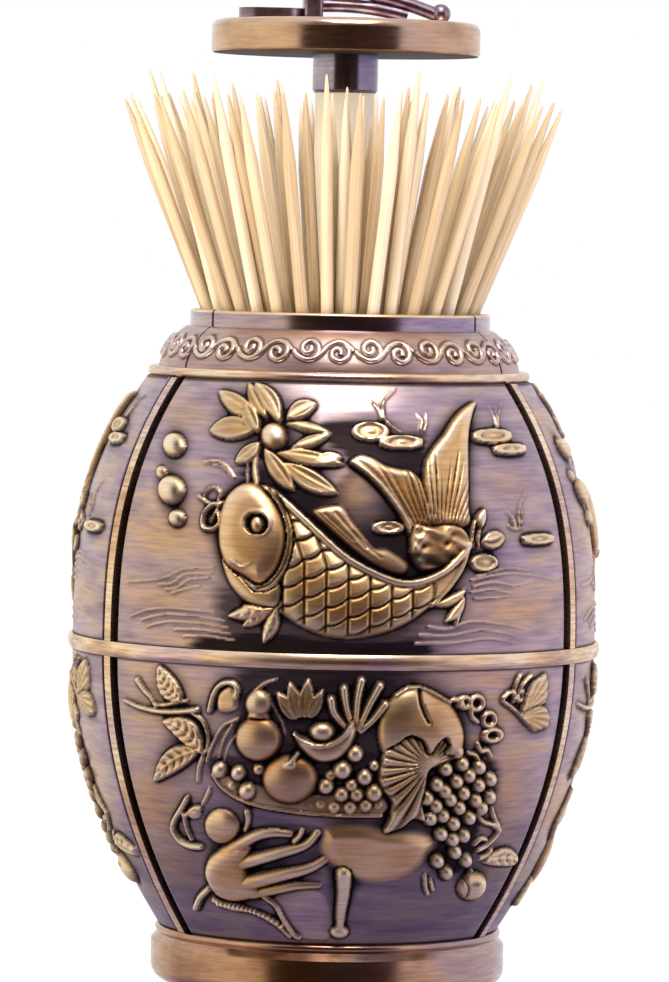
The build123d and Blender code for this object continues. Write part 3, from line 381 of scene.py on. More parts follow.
def draw_head(r):
    # throat, gill cover, cheek and snout
    r.patch([(-19.0, 66.5), (-18.0, 63.4), (-16.2, 61.2), (-13.8, 59.9), (-10.8, 59.6), (-9.6, 61.0),
             (-9.7, 63.6), (-12.0, 64.0), (-15.0, 65.0), (-17.4, 67.0)], 1.0, 1.6, warm=0.12, over=True)
    r.patch([(-12.6, 77.3), (-9.8, 75.2), (-8.3, 72.0), (-7.9, 69.0), (-8.7, 65.4), (-10.6, 62.6),
             (-13.4, 61.8), (-15.6, 63.6), (-17.8, 66.0), (-18.6, 70.0), (-17.0, 75.0)], 1.5, 1.1,
            warm=0.2, over=True)
    r.patch([(-13.2, 77.2), (-10.7, 74.9), (-9.3, 72.0), (-9.0, 69.2), (-9.8, 65.9), (-11.4, 63.6),
             (-13.2, 62.8), (-15.4, 63.9), (-18.0, 65.4), (-19.3, 67.8), (-19.6, 70.8), (-19.2, 73.6),
             (-17.9, 76.0), (-15.6, 77.5)], 1.85, 3.0, warm=0.45, over=True)
    r.carve([(-11.6, 76.6), (-9.7, 74.3), (-8.75, 71.4), (-8.6, 68.8), (-9.4, 65.6), (-11.3, 63.1),
             (-13.2, 62.4)], 0.5, 0.45)
    # the eye: a rim round a black pit with a bright pupil
    r.shade[r.window([(-13.3, 71.4)], 3.2)] = 0.0
    r.ring(*EYE, 2.0, 1.8, 0.6, 0.12, base=1.8, warm=0.4)
    w = r.window([EYE], 2.2)
    pit = oval(r, w, EYE, 1.7, 1.5) < 1
    r.height[w] = np.where(pit, 1.0, r.height[w])
    r.shade[w] = np.where(pit, 1.0, r.shade[w])
    r.warm[w] = np.where(pit, 0.0, r.warm[w])
    r.ball(*PUPIL, 0.95, 1.25, 0.85, base=1.0)
    w = r.window([PUPIL], 1.1)
    r.shade[w] = np.where(oval(r, w, PUPIL, 0.88, 1.15) < 1, 0.0, r.shade[w])
    # brow, nostril, mouth and barbels
    r.cord([(-16.9, 66.3), (-15.4, 65.4), (-14.0, 65.9)], 0.35, 0.2, base=1.7, warm=0.3)
    r.cord([(-19.4, 74.3), (-20.7, 74.2), (-22.1, 72.8), (-22.2, 70.9), (-20.6, 70.7), (-19.5, 71.6),
            (-19.7, 73.0)], 0.65, 0.8)
    r.cord([(-19.3, 74.6), (-20.3, 73.0), (-20.9, 71.9)], 0.4, 0.5)
    r.cord([(-23.4, 75.4), (-22.4, 74.9), (-21.3, 74.4), (-20.2, 74.2), (-18.8, 74.6), (-17.6, 73.6),
            (-16.9, 73.2)], 0.5, 0.5)
    r.cord([(-22.2, 75.3), (-21.6, 76.3), (-20.5, 76.7), (-19.6, 76.0), (-19.8, 74.9)], 0.45, 0.5)


def draw_front_fins(r):
    for fu, fz, tu, tz, width, height, bend in (
        (-10.2, 60.2, -17.9, 58.2, 2.4, 1.0, 0.25),
        (-10.4, 59.6, -12.3, 54.5, 2.2, 0.95, 0.15),
        (-11.0, 59.4, -15.6, 56.7, 1.8, 0.75, -0.1),
    ):
        r.leaf((fu, fz), (tu, tz), width, height, bend, warm=0.35, veins=5, depth=0.14)
    r.ball(-14.4, 59.4, 1.3, 0.6, 0.95, turn=-15, warm=0.1)


def draw_water_and_plants(r):
    for u, z, ru, rz in ((23.1, 84.7, 3.7, 1.05), (26.7, 82.8, 3.3, 0.8), (3.0, 85.3, 2.6, 1.35),
                         (7.6, 83.8, 3.1, 1.0), (5.6, 71.6, 2.2, 0.9), (32.0, 69.7, 3.5, 0.8),
                         (20.9, 66.5, 2.3, 1.25)):
        r.ball(u, z, ru, rz, 0.45, flat=6)
        r.ring(u, z, ru - 0.3, rz - 0.22, 0.5, 0.35, base=0.35)
        r.ball(u + 0.1, z, 0.7, 0.3, 0.2, base=0.4)
    r.leaf((20.1, 71.4), (20.8, 74.3), 1.9, 1.0, 0.1)
    r.cord([(19.1, 68.9), (18.9, 70.5), (19.3, 72.4)], 0.5, 0.5)
    r.cord([(19.9, 68.7), (20.0, 70.3), (20.3, 71.6)], 0.5, 0.5)
    r.leaf((20.5, 69.2), (25.0, 70.2), 2.6, 0.8, 0.1, cup=0.6)
    r.leaf((21.0, 69.6), (24.0, 70.3), 0.9, 0.75, 0.0)
    for points in ([(24.3, 86.2), (24.0, 87.6), (23.3, 89.0)], [(24.6, 86.2), (25.0, 87.8), (26.0, 89.4)],
                   [(24.5, 86.2), (24.5, 88.0), (24.7, 88.9)],
                   [(26.9, 71.7), (26.2, 73.2), (25.0, 74.3)], [(27.1, 71.6), (26.8, 73.0), (26.0, 73.4)],
                   [(27.9, 71.7), (28.1, 74.6), (29.9, 76.7)], [(28.5, 71.7), (28.6, 73.9), (28.2, 75.0)],
                   [(25.6, 71.8), (27.0, 71.3), (28.8, 71.6)],
                   [(5.1, 87.2), (5.0, 89.6), (6.9, 91.5)], [(4.6, 87.3), (4.1, 88.6), (3.1, 89.8)],
                   [(4.8, 87.2), (4.6, 88.2), (4.2, 89.2)], [(10.6, 85.8), (10.9, 87.0), (10.2, 87.9)],
                   [(11.2, 85.6), (11.6, 86.8), (11.7, 88.0)], [(5.5, 86.8), (6.4, 86.0), (7.6, 85.4)]):
        r.cord(points, 0.5, 0.4, end=0.25)
    for points in ([(-37.0, 62.3), (-33.0, 62.6), (-29.0, 63.3), (-25.6, 64.7), (-20.4, 65.1)],
                   [(-30.4, 62.2), (-27.6, 62.6), (-25.4, 63.9), (-20.6, 64.3)],
                   [(-29.0, 61.5), (-26.6, 62.0), (-24.6, 63.2), (-21.2, 63.6)],
                   [(-27.6, 61.1), (-25.2, 61.8), (-22.6, 62.4)],
                   [(-36.0, 57.2), (-32.0, 58.4), (-27.0, 58.9), (-20.0, 58.6)],
                   [(-33.6, 56.8), (-29.0, 57.9), (-23.0, 57.9), (-18.4, 57.5)],
                   [(-32.4, 55.9), (-28.0, 56.9), (-22.0, 56.9), (-17.8, 56.5)],
                   [(-27.0, 55.8), (-22.6, 56.0), (-17.4, 55.6)],
                   [(-25.4, 54.9), (-21.0, 55.1), (-16.8, 54.7)],
                   [(18.9, 64.0), (22.4, 64.6), (26.6, 64.9), (31.4, 64.4), (36.4, 63.7)],
                   [(19.2, 63.1), (22.8, 63.7), (26.8, 63.1), (30.4, 63.6)],
                   [(18.8, 62.2), (22.4, 62.6), (26.4, 62.0)], [(19.4, 61.3), (23.0, 61.4), (25.8, 61.6)],
                   [(12.0, 57.2), (15.0, 56.9), (19.0, 58.0), (25.0, 57.4), (29.6, 56.6)],
                   [(10.6, 56.0), (15.6, 56.0), (21.0, 56.7), (27.4, 55.7)],
                   [(10.0, 54.9), (16.0, 54.9), (22.0, 55.4), (27.0, 54.7)],
                   [(19.8, 64.6), (25.2, 65.6), (30.0, 65.2)]):
        r.cord(points, 0.5, 0.24, end=0.3)


def upper_relief(r):
    draw_bubbles(r)
    draw_water_and_plants(r)
    draw_lotus(r)
    draw_dorsal_fin(r)
    draw_tail(r)
    draw_tail_root(r)
    draw_fish_body(r)
    draw_front_fins(r)
    draw_head(r)
    # pools of painted shade round the fish: behind its back and tail, under its belly and along the panel's
    # foot
    r.darken([(-16.5, 80.5), (-16.0, 77.0), (-10.0, 70.0), (0.0, 64.0), (10.0, 62.0), (14.0, 66.0),
              (13.0, 74.0), (12.0, 82.0), (11.6, 86.0), (5.0, 87.8), (-1.0, 87.6), (-5.5, 86.4),
              (-4.0, 83.0), (-1.0, 82.0), (-0.5, 79.5), (-3.0, 77.6), (-6.5, 78.6), (-10.0, 80.5)], 1.1,
             0.95, lighter=((1.6, 76.4, 3.0, 3.4, 0.62), (9.0, 86.5, 3.0, 1.4, 0.5)))
    r.darken([(-20.0, 62.5), (-19.6, 58.0), (-18.2, 53.2), (-10.0, 52.6), (2.0, 52.6), (7.0, 54.0),
              (10.5, 57.0), (14.0, 60.0), (12.0, 64.0), (0.0, 62.0), (-10.0, 62.0), (-16.0, 63.0)], 1.5,
             0.74)
    r.darken([(-23.0, 54.9), (-16.0, 56.2), (-8.0, 56.2), (2.0, 55.2), (10.0, 56.0), (13.0, 54.4),
              (10.0, 52.6), (-22.0, 52.6)],
             0.8, 0.95)


def draw_twig(r):
    r.cord([(-37.2, 44.6), (-33.4, 43.8), (-29.6, 43.5), (-26.0, 43.7), (-22.6, 44.2)], 0.55, 0.45, end=0.9)
    r.cord([(-34.2, 47.9), (-32.6, 46.4), (-31.2, 45.4), (-30.2, 44.1)], 0.9, 0.6, end=0.6)
    r.cord([(-30.2, 44.4), (-28.2, 44.6), (-25.8, 45.2), (-24.4, 45.4)], 0.55, 0.5)
    r.cord([(-24.0, 43.9), (-21.9, 42.8), (-20.9, 41.0), (-20.8, 38.6), (-21.6, 37.8)], 0.6, 0.5)
    for fu, fz, tu, tz, width, bend in ((-25.2, 45.4, -29.7, 50.4, 3.4, 0.7),
                                        (-21.5, 37.9, -28.9, 42.2, 3.6, -1.2),
                                        (-22.3, 38.2, -30.6, 32.8, 3.6, -0.9)):
        r.leaf((fu, fz), (tu, tz), width, 0.9, bend, cup=0.25, rib=0.22, veins=6, depth=0.22, over=True,
               blunt=0.85, warm=0.15)
    r.cord([(-21.6, 37.2), (-22.2, 35.6), (-22.3, 33.6)], 0.8, 0.4)
    r.cord([(-20.3, 32.4), (-20.9, 31.2), (-21.5, 30.2)], 0.7, 0.4)


def draw_dish(r):
    r.cord([(-16.0, 43.2), (-18.4, 42.0), (-20.0, 39.2), (-20.9, 36.6)], 0.5, 0.4)
    r.cord([(-16.8, 42.4), (-18.2, 40.0), (-18.9, 37.4)], 0.45, 0.35)
    r.cord([(-15.6, 41.6), (-17.2, 39.4), (-18.0, 36.9)], 0.4, 0.3)
    r.patch([(-19.6, 35.0), (-17.4, 32.4), (-14.0, 30.8), (-8.0, 29.9), (0.0, 29.5), (5.6, 29.6),
             (6.6, 31.2), (4.0, 33.0), (-4.0, 32.4), (-12.0, 33.4)], 0.35, 0.8)
    r.cord([(-19.8, 34.8), (-18.2, 32.9), (-15.6, 31.4), (-12.0, 30.4), (-6.0, 29.7), (0.0, 29.4),
            (5.6, 29.4)], 0.7, 0.6)


def draw_fruit(r):
    # flowers and coral behind the dish
    # the flowers get painted shade beside their ribs
    for fu, fz, tu, tz, width in ((-7.0, 43.6, -10.2, 47.4, 2.3), (-6.6, 43.8, -8.4, 49.0, 2.3),
                                  (-6.0, 43.8, -5.6, 49.6, 2.4), (-5.4, 43.8, -3.4, 48.0, 2.0)):
        r.leaf((fu, fz), (tu, tz), width, 0.95, 0.0, cup=0.45, rib=0.15, blunt=0.7, rib_shade=0.75)
    for points in ([(1.0, 42.4), (0.0, 45.6), (-0.4, 48.2)], [(1.4, 42.4), (1.6, 46.6), (2.1, 49.4)],
                   [(1.9, 42.4), (3.4, 46.0), (4.8, 48.7)], [(0.6, 42.0), (-1.6, 44.4), (-2.2, 46.6)],
                   [(2.2, 42.0), (4.0, 43.8), (5.6, 46.0)]):
        r.cord(points, 0.9, 0.75, end=1.35)
    # curled leaf at the left and the gourd
    r.patch([(-19.0, 44.2), (-19.2, 46.6), (-17.4, 48.0), (-16.2, 47.0), (-16.2, 44.6)], 0.5, 0.8)
    r.cord([(-20.5, 44.2), (-19.9, 46.6), (-18.8, 48.1), (-17.2, 48.5), (-16.2, 47.8), (-16.2, 46.6)],
           0.85, 0.8)
    r.ball(-12.9, 45.6, 2.0, 2.1, 1.3, warm=0.6)
    r.ball(-12.85, 43.5, 1.7, 1.5, 1.2, warm=0.7)
    r.cord([(-13.6, 47.2), (-12.0, 48.6), (-10.2, 49.3)], 0.8, 0.6, end=0.4, warm=0.2)
    r.cord([(-11.4, 46.9), (-10.6, 45.2), (-9.4, 43.2), (-8.8, 41.4)], 0.4, 0.45)
    r.ball(-12.8, 40.4, 3.5, 3.3, 1.6, warm=0.75, over=True)
    # boat-shaped bowl with a ball
    r.patch([(-7.5, 41.4), (-6.6, 39.4), (-4.8, 37.8), (-3.0, 37.3), (-1.0, 37.8), (0.6, 39.4),
             (1.5, 41.6), (1.4, 43.3), (0.5, 43.6), (-0.6, 41.6), (-3.2, 40.4), (-5.8, 41.0)], 1.15, 1.3,
            warm=0.25, over=True)
    r.cord([(-7.4, 41.5), (-6.0, 40.4), (-3.4, 39.9), (-1.2, 40.7), (0.4, 42.3), (0.9, 43.4)], 0.6, 0.45,
           base=0.85)
    r.ball(-3.4, 41.8, 1.9, 1.45, 1.35, warm=0.2, over=True)
    # round fruit with its stem
    r.ball(-7.9, 34.6, 4.1, 3.6, 1.7, warm=0.7, over=True)
    r.ball(-7.8, 37.0, 0.9, 0.6, 0.4, base=1.2, warm=0.4)
    r.cord([(-7.8, 36.8), (-7.4, 37.8), (-6.8, 38.6)], 0.8, 0.5, base=0.9)
    for u, z, s in ((-18.7, 35.5, 1.25), (-15.7, 35.2, 1.2), (-14.2, 32.6, 1.35), (-16.6, 33.3, 0.8),
                    (-12.6, 35.9, 0.9)):
        r.ball(u, z, s, s, s * 0.95, warm=0.2)
    for u, z, s in ((1.5, 38.6, 1.25), (-0.3, 36.2, 1.4), (3.0, 35.1, 1.2), (1.1, 33.9, 0.95),
                    (4.5, 32.8, 1.3), (1.9, 32.5, 1.05), (-0.3, 32.5, 1.1), (3.3, 30.9, 1.0),
                    (1.0, 30.6, 1.0), (-1.3, 30.6, 0.95), (-2.6, 33.7, 1.2), (-3.3, 31.0, 0.8),
                    (-4.6, 30.9, 0.6), (4.4, 36.8, 0.8), (5.2, 31.0, 0.8), (-2.0, 35.3, 0.8)):
        r.ball(u, z, s, s, s * 0.9, warm=0.15)
    # peach with its cleft
    r.patch([(4.7, 42.0), (5.2, 45.0), (7.2, 47.6), (9.6, 48.5), (11.4, 48.2), (13.4, 47.2), (15.8, 45.8),
             (17.6, 43.2), (18.2, 40.6), (17.2, 38.2), (13.0, 36.4), (8.0, 37.0), (5.4, 39.0)], 1.7, 4.5,
            warm=0.4)
    r.carve([(10.7, 48.4), (10.7, 46.4), (11.3, 44.6), (12.0, 43.4)], 0.9, 0.6, end=0.4)
    r.cord([(7.0, 47.2), (9.0, 48.4), (11.0, 48.4), (13.0, 47.6), (15.6, 46.2)], 0.5, 0.3, base=0.5)


def draw_grapes(r):
    # each grape gets a little painted dark reflection on its right side
    for u, z in ((14.9, 39.6), (17.0, 38.9), (15.3, 36.3), (18.0, 37.0), (21.0, 36.4), (14.0, 34.0),
                 (17.2, 34.4), (19.3, 35.2), (23.2, 34.5), (21.1, 33.7), (15.3, 33.0), (18.5, 32.6),
                 (12.5, 32.0), (16.3, 31.7), (20.7, 31.4), (23.3, 31.8), (14.0, 30.8), (17.9, 30.4),
                 (15.2, 29.3), (19.8, 28.8), (17.1, 28.0), (15.1, 26.5), (19.0, 26.1), (17.1, 25.6),
                 (17.7, 23.6), (14.8, 22.3), (19.8, 22.2), (16.5, 20.4), (13.2, 28.9), (21.9, 30.2)):
        r.ball(u, z, 1.17, 1.17, 1.25, warm=0.1, dark_reflection=0.35)
    # leaf of the vine
    w, d = r.patch([(5.1, 36.4), (5.7, 39.2), (7.2, 40.3), (9.0, 41.6), (11.2, 40.9), (12.3, 38.9),
                    (13.4, 40.4), (14.6, 41.2), (15.4, 40.0), (14.9, 38.8), (16.4, 38.4), (14.6, 37.2),
                    (12.6, 36.2), (12.2, 33.4), (11.8, 31.0), (12.4, 28.6), (10.4, 28.9), (8.6, 27.5),
                    (6.0, 26.9), (6.9, 29.4), (7.0, 31.6), (5.7, 33.2), (5.0, 34.8)], 1.2, 0.7, warm=0.2,
                   over=True)
    U, Z = r.U[w] - 12.4, r.Z[w] - 37.3
    angle = np.degrees(np.arctan2(Z, U)) % 360
    reach = np.hypot(U, Z)
    ribs = 0.5 + 0.5 * np.cos(2 * np.pi * (angle / 13.0 + 0.06 * reach))
    fade = np.clip((reach - 0.8) / 1.5, 0, 1) * np.clip(d / 0.35, 0, 1)
    r.height[w] -= 0.42 * fade * (1 - ribs)**1.5
    r.shade[w] = np.where(d > 0, 0.75 * fade * (1 - ribs)**2.2, r.shade[w])
    for points in ([(16.2, 46.5), (17.4, 46.4), (18.0, 45.4)], [(17.0, 45.7), (17.9, 46.9)],
                   [(19.2, 45.2), (19.4, 44.0), (20.4, 43.2)],
                   [(20.6, 39.9), (21.3, 38.8), (22.4, 38.9), (23.2, 37.9)],
                   [(19.0, 38.6), (20.2, 38.3), (20.8, 37.6)],
                   [(21.0, 29.4), (22.6, 28.0), (24.6, 27.4), (26.1, 26.5)],
                   [(24.0, 30.0), (24.8, 28.4), (25.8, 27.2)],
                   [(26.2, 26.5), (25.2, 25.4), (23.6, 24.2), (22.0, 23.6)],
                   [(21.2, 24.6), (22.4, 25.4), (23.4, 25.2)], [(12.9, 20.0), (13.2, 18.2), (13.6, 17.2)],
                   [(13.9, 19.2), (14.4, 17.8)]):
        r.cord(points, 0.75, 0.6)
    for u, z, ru, rz in ((20.2, 46.0, 1.1, 1.0), (22.5, 43.5, 1.1, 1.0), (23.3, 41.1, 1.5, 0.85),
                         (18.1, 46.1, 0.9, 0.8)):
        r.ring(u, z, ru, rz, 0.7, 0.6)


def draw_butterfly(r):
    for outline in ([(28.9, 44.3), (29.6, 46.4), (31.0, 48.4), (32.8, 49.4), (34.4, 49.6), (34.7, 47.8),
                     (34.4, 45.6), (32.0, 45.0)],
                    [(29.0, 43.9), (31.0, 44.9), (33.4, 45.1), (35.0, 44.4), (35.7, 43.0), (35.2, 41.7),
                     (33.6, 41.4), (31.4, 41.4)]):
        w, d = r.patch(outline, 0.55, 0.6, warm=0.15, over=True)
        U, Z = r.U[w] - 28.8, r.Z[w] - 43.9
        angle = np.degrees(np.arctan2(Z, U))
        ribs = 0.5 + 0.5 * np.cos(angle * 2 * np.pi / 11)
        r.height[w] -= np.where(d > 0, 0.16 * ribs * np.clip(d / 0.3, 0, 1), 0)
        r.shade[w] = np.where(d > 0, 0.4 * ribs**2, r.shade[w])
    for points in ([(28.8, 44.2), (29.8, 46.6), (31.2, 48.4), (33.8, 49.6)],
                   [(24.8, 46.2), (26.6, 45.2), (28.4, 44.0), (30.2, 42.6)],
                   [(25.0, 46.6), (26.2, 47.4), (27.2, 47.2)], [(27.0, 46.0), (27.3, 48.4), (28.4, 50.0)],
                   [(27.8, 46.4), (28.6, 48.2), (30.6, 49.8)], [(27.4, 46.6), (28.4, 46.0), (28.9, 47.6)]):
        r.cord(points, 0.6, 0.6)


def draw_melon_and_citron(r):
    # smooth melon with its stand
    r.patch([(-3.6, 25.4), (-2.4, 28.0), (2.0, 28.6), (6.0, 28.0), (10.0, 27.6), (13.6, 26.6),
             (15.2, 25.2), (14.2, 23.6), (12.4, 21.0), (9.6, 19.2), (6.0, 18.4), (2.2, 18.8),
             (-1.0, 20.6), (-3.2, 22.8)], 0.95, 2.6, warm=0.4, soft=True)
    r.cord([(0.5, 20.6), (0.6, 17.6), (0.4, 14.4), (0.4, 12.0)], 2.5, 1.35, end=1.2, base=0.1, over=True)
    r.ball(0.35, 11.2, 1.4, 1.0, 0.95)
    # citron: upper lobe, fingers and palm
    r.ball(-18.2, 26.9, 2.9, 2.7, 1.1, warm=0.4)
    r.cord([(-12.8, 16.9), (-9.5, 17.6), (-6.2, 18.3), (-3.0, 18.5)], 1.9, 0.95, end=0.9, warm=0.35)
    r.cord([(-14.0, 18.4), (-8.7, 19.9), (-4.6, 21.1), (-2.2, 22.6)], 2.6, 1.25, end=1.2, warm=0.4)
    r.cord([(-14.6, 21.6), (-9.5, 23.2), (-5.4, 24.6), (-3.6, 26.6)], 2.3, 1.2, end=1.1, warm=0.4)
    r.cord([(-6.9, 25.3), (-6.2, 26.0), (-5.8, 26.9)], 0.9, 0.7, end=0.8, warm=0.3)
    r.cord([(-16.2, 23.6), (-12.9, 25.7), (-10.2, 26.4), (-7.6, 26.3)], 2.3, 1.15, end=1.1, warm=0.4)
    r.cord([(-14.2, 29.4), (-14.0, 27.9), (-14.4, 26.6)], 1.0, 0.7, end=0.7, warm=0.2)
    r.patch([(-20.9, 19.2), (-20.4, 21.6), (-18.8, 23.2), (-17.0, 24.4), (-15.0, 24.9), (-13.4, 24.2),
             (-13.6, 22.6), (-14.0, 21.0), (-13.4, 19.4), (-11.8, 18.2), (-11.6, 16.8), (-13.6, 15.8),
             (-16.4, 15.4), (-19.2, 16.4)], 1.35, 2.4, warm=0.5)
    # leaf and stalk round the lobe
    r.cord([(-24.2, 30.8), (-25.2, 29.2), (-26.6, 27.2), (-26.9, 25.8), (-25.6, 24.2), (-23.6, 23.5),
            (-21.6, 23.5)], 1.0, 0.8)
    r.cord([(-24.9, 28.4), (-24.3, 26.2), (-23.4, 24.6)], 0.7, 0.6)
    r.ball(-23.0, 28.6, 1.3, 1.0, 0.6)
    r.cord([(-21.8, 29.4), (-23.0, 29.4), (-24.4, 28.2)], 0.7, 0.6)
    r.cord([(-20.4, 16.9), (-21.8, 15.6), (-22.7, 13.9)], 1.1, 0.8, end=1.4)
    # root under the citron and the small panel beside the stand
    r.patch([(-10.2, 16.6), (-2.6, 17.4), (-1.0, 10.2), (-5.6, 10.1), (-8.4, 13.6)], 0.09, 0.3)
    r.cord([(-19.6, 15.2), (-16.4, 14.2), (-13.0, 14.0), (-10.4, 12.9), (-8.4, 11.6), (-6.9, 10.2)], 0.7,
           0.5)
    r.cord([(-11.2, 16.4), (-9.4, 15.2), (-8.2, 13.2), (-6.6, 10.9), (-5.6, 10.1)], 0.8, 0.6)
    for i in range(16):
        s = i / 15
        r.ball(-18.6 + 10.4 * s, 14.7 - 0.6 * s - 2.2 * s**3, 0.34, 0.34, 0.35, base=0.35)
    # small apple with a leaf
    r.ball(21.8, 17.9, 3.0, 2.2, 1.35, warm=0.25)
    r.carve([(19.6, 19.4), (20.4, 18.2), (20.4, 16.6)], 0.5, 0.3)
    r.ball(21.9, 18.9, 0.8, 0.3, 0.1, base=1.2)
    w = r.window([(21.8, 18.8)], 1.4)
    r.stain_and_shade(w, 0.8 * np.clip(1 - oval(r, w, (21.8, 18.8), 1.1, 0.5), 0, 1)**0.5)
    r.cord([(20.6, 19.8), (21.0, 20.6)], 0.6, 0.9)
    r.leaf((23.2, 21.6), (32.8, 20.8), 2.9, 0.8, 0.9, cup=0.25, rib=0.2, veins=5, depth=0.18, warm=0.1)
    r.cord([(22.6, 22.2), (23.8, 22.6), (24.8, 23.4)], 0.8, 0.5)


def lower_relief(r):
    draw_twig(r)
    draw_melon_and_citron(r)
    draw_dish(r)
    draw_fruit(r)
    draw_grapes(r)
    draw_butterfly(r)
    # pools of painted shade behind and among the fruit, the dish, the grapes and the citron
    r.darken([(-16.4, 50.4), (-8.0, 51.4), (7.0, 51.3), (12.0, 50.0), (10.0, 47.5), (6.6, 46.0),
              (6.0, 38.0), (6.8, 33.0), (6.4, 29.6), (-8.0, 30.0), (-19.0, 34.6), (-15.0, 38.0),
              (-16.0, 44.0), (-16.8, 47.4)], 1.2, 0.84)
    r.darken([(13.6, 40.6), (17.0, 40.0), (24.4, 37.0), (25.0, 31.0), (22.4, 27.0), (21.4, 21.0),
              (15.6, 19.4), (13.6, 24.0), (12.2, 30.0)], 0.9, 0.95, on_relief=0.75)
    r.darken([(-11.6, 50.4), (6.8, 50.4), (6.6, 44.6), (2.4, 42.6), (-8.0, 41.8), (-11.0, 44.0)], 0.8,
             0.9, on_relief=0.6)
    r.darken([(-5.0, 37.0), (0.0, 39.6), (5.0, 38.6), (6.0, 30.0), (-5.4, 30.0)], 0.7, 0.9, on_relief=0.6)
    r.darken([(-20.4, 37.6), (-12.0, 37.4), (-12.6, 31.6), (-19.6, 33.6)], 0.6, 0.85, on_relief=0.55)
    r.darken([(-16.0, 17.0), (-3.0, 19.0), (-1.6, 26.4), (-8.0, 28.4), (-16.0, 26.0)], 1.2, 0.7)
    # darker towards the bottom of the panel, less so round two lighter spots
    r.darken([(-36.0, 27.0), (-10.0, 31.0), (10.0, 30.0), (36.0, 25.0), (32.0, 9.2), (-32.0, 9.2)], 2.5,
             0.36, lighter=((-30.0, 26.0, 6.0, 6.0, 0.9), (27.0, 33.0, 6.0, 8.0, 0.8)))


# ---------------------------------------------------------------- finishes
# what the cast finish reads at each point of a stave
MARKS = ("raised", "recess", "warm", "polish", "worn")


def linear(code):
    """Linear colour of an sRGB hex value."""
    channels = [int(code[i:i + 2], 16) / 255 for i in (0, 2, 4)]
    return tuple(c / 12.92 if c <= 0.04045 else ((c + 0.055) / 1.055) ** 2.4 for c in channels) + (1.0,)


def fill(tree, node, inputs):
    """Links or sets a node's inputs."""
    for key, value in inputs.items():
        if isinstance(value, bpy.types.NodeSocket):
            tree.links.new(value, node.inputs[key])
        else:
            node.inputs[key].default_value = value


def add(tree, kind, settings=None, inputs=None):
    """Adds a node with its settings and inputs."""
    made = tree.nodes.new(kind)
    for key, value in (settings or {}).items():
        if key == "ramp":
            elements = made.color_ramp.elements
            while len(elements) < len(value):
                elements.new(0.5)
            for element, (position, code) in zip(elements, value):
                element.position, element.color = position, linear(code)
        else:
            setattr(made, key, value)
    fill(tree, made, inputs or {})
    return made


def new_material(name):
    """A material with its shader and output, and nothing else in its tree."""
    material = bpy.data.materials.new(name)
    material.use_nodes = True
    tree = material.node_tree
    tree.nodes.clear()
    shader = add(tree, "ShaderNodeBsdfPrincipled")
    add(tree, "ShaderNodeOutputMaterial", inputs={"Surface": shader.outputs[0]})
    return material, tree, shader


def mix(tree, factor, a, b, blend="MIX"):
    """Colour a with b over it, or blended into it, by the factor."""
    settings = {"data_type": "RGBA", "blend_type": blend}
    return add(tree, "ShaderNodeMix", settings, {0: factor, 6: a, 7: b}).outputs[2]


def calc(tree, operation, *values, clamp=False):
    """Result of a math node."""
    settings = {"operation": operation, "use_clamp": clamp}
    return add(tree, "ShaderNodeMath", settings, dict(enumerate(values))).outputs[0]


def remap(tree, value, low, high, at_low=0.0, at_high=1.0):
    """Maps a range to another one, and holds the value at its ends."""
    inputs = {0: value, 1: low, 2: high, 3: at_low, 4: at_high}
    return add(tree, "ShaderNodeMapRange", inputs=inputs).outputs[0]


def ramp(tree, value, stops):
    """Colour of a value, from stops of a position and an sRGB hex value."""
    return add(tree, "ShaderNodeValToRGB", {"ramp": stops}, {0: value}).outputs[0]


def noise(tree, place, scale, detail, roughness=0.5):
    inputs = {"Vector": place, "Scale": scale, "Detail": detail, "Roughness": roughness}
    return add(tree, "ShaderNodeTexNoise", inputs=inputs).outputs["Fac"]


def attribute(tree, name):
    return add(tree, "ShaderNodeAttribute", {"attribute_name": name}).outputs["Fac"]


def object_place(tree):
    return add(tree, "ShaderNodeTexCoord").outputs["Object"]


def height_of(tree, place):
    return add(tree, "ShaderNodeSeparateXYZ", inputs={0: place}).outputs[2]


def bumped(tree, height, strength, distance):
    inputs = {"Strength": strength, "Distance": distance, "Height": height}
    return add(tree, "ShaderNodeBump", inputs=inputs).outputs[0]


def brushed(tree, scale_along, scale_across, detail=4.0):
    """Noise drawn out sideways, as a brush leaves it on a turned or cast ring."""
    scale = (scale_along, scale_along, scale_across)
    drawn = add(tree, "ShaderNodeMapping", inputs={"Vector": object_place(tree), "Scale": scale})
    return noise(tree, drawn.outputs[0], 1.0, detail)


def rubbed(tree, base, streaks, darkest, lightest):
    """Colour made darker and lighter along the brushing."""
    share = remap(tree, streaks, 0.3, 0.75, darkest, lightest)
    grey = add(tree, "ShaderNodeCombineColor", inputs={0: share, 1: share, 2: share}).outputs[0]
    return mix(tree, 1.0, base, grey, "MULTIPLY")


def bronze(name, dark, middle, light, tint, rough, streak=0.35, patch_size=11.0, shade_below=0.0):
    """Antique bronze: patina in patches, rubbed back along the brushing, and painted shade below a height
    in m, where it is also rougher.
    """
    material, tree, shader = new_material(name)
    place = object_place(tree)
    patches = noise(tree, place, 1000 / patch_size, 3.0)
    streaks = brushed(tree, 240.0, 2600.0)
    base = ramp(tree, patches, ((0.30, dark), (0.47, middle), (0.68, light)))
    tinted = remap(tree, noise(tree, place, 62.0, 1.0), 0.50, 0.66, 0.0, 0.75)
    base = mix(tree, tinted, base, linear(tint))
    base = rubbed(tree, base, streaks, 1.0 - streak, 1.0 + streak * 0.7)
    # painted shade on the underside: darker and rougher below the given height
    underside_shade = remap(tree, height_of(tree, place), shade_below, shade_below + 0.0001, 1.0, 0.0)
    rough_at = remap(tree, streaks, 0.3, 0.7, rough + 0.06, rough - 0.05)
    fill(tree, shader, {
        "Base Color": mix(tree, underside_shade, base, linear("33251E")),
        "Roughness": calc(tree, "MULTIPLY_ADD", underside_shade, 0.4, rough_at, clamp=True),
        "Normal": bumped(tree, streaks, 0.1, 0.00004),
        "Metallic": 1.0,
    })
    return material


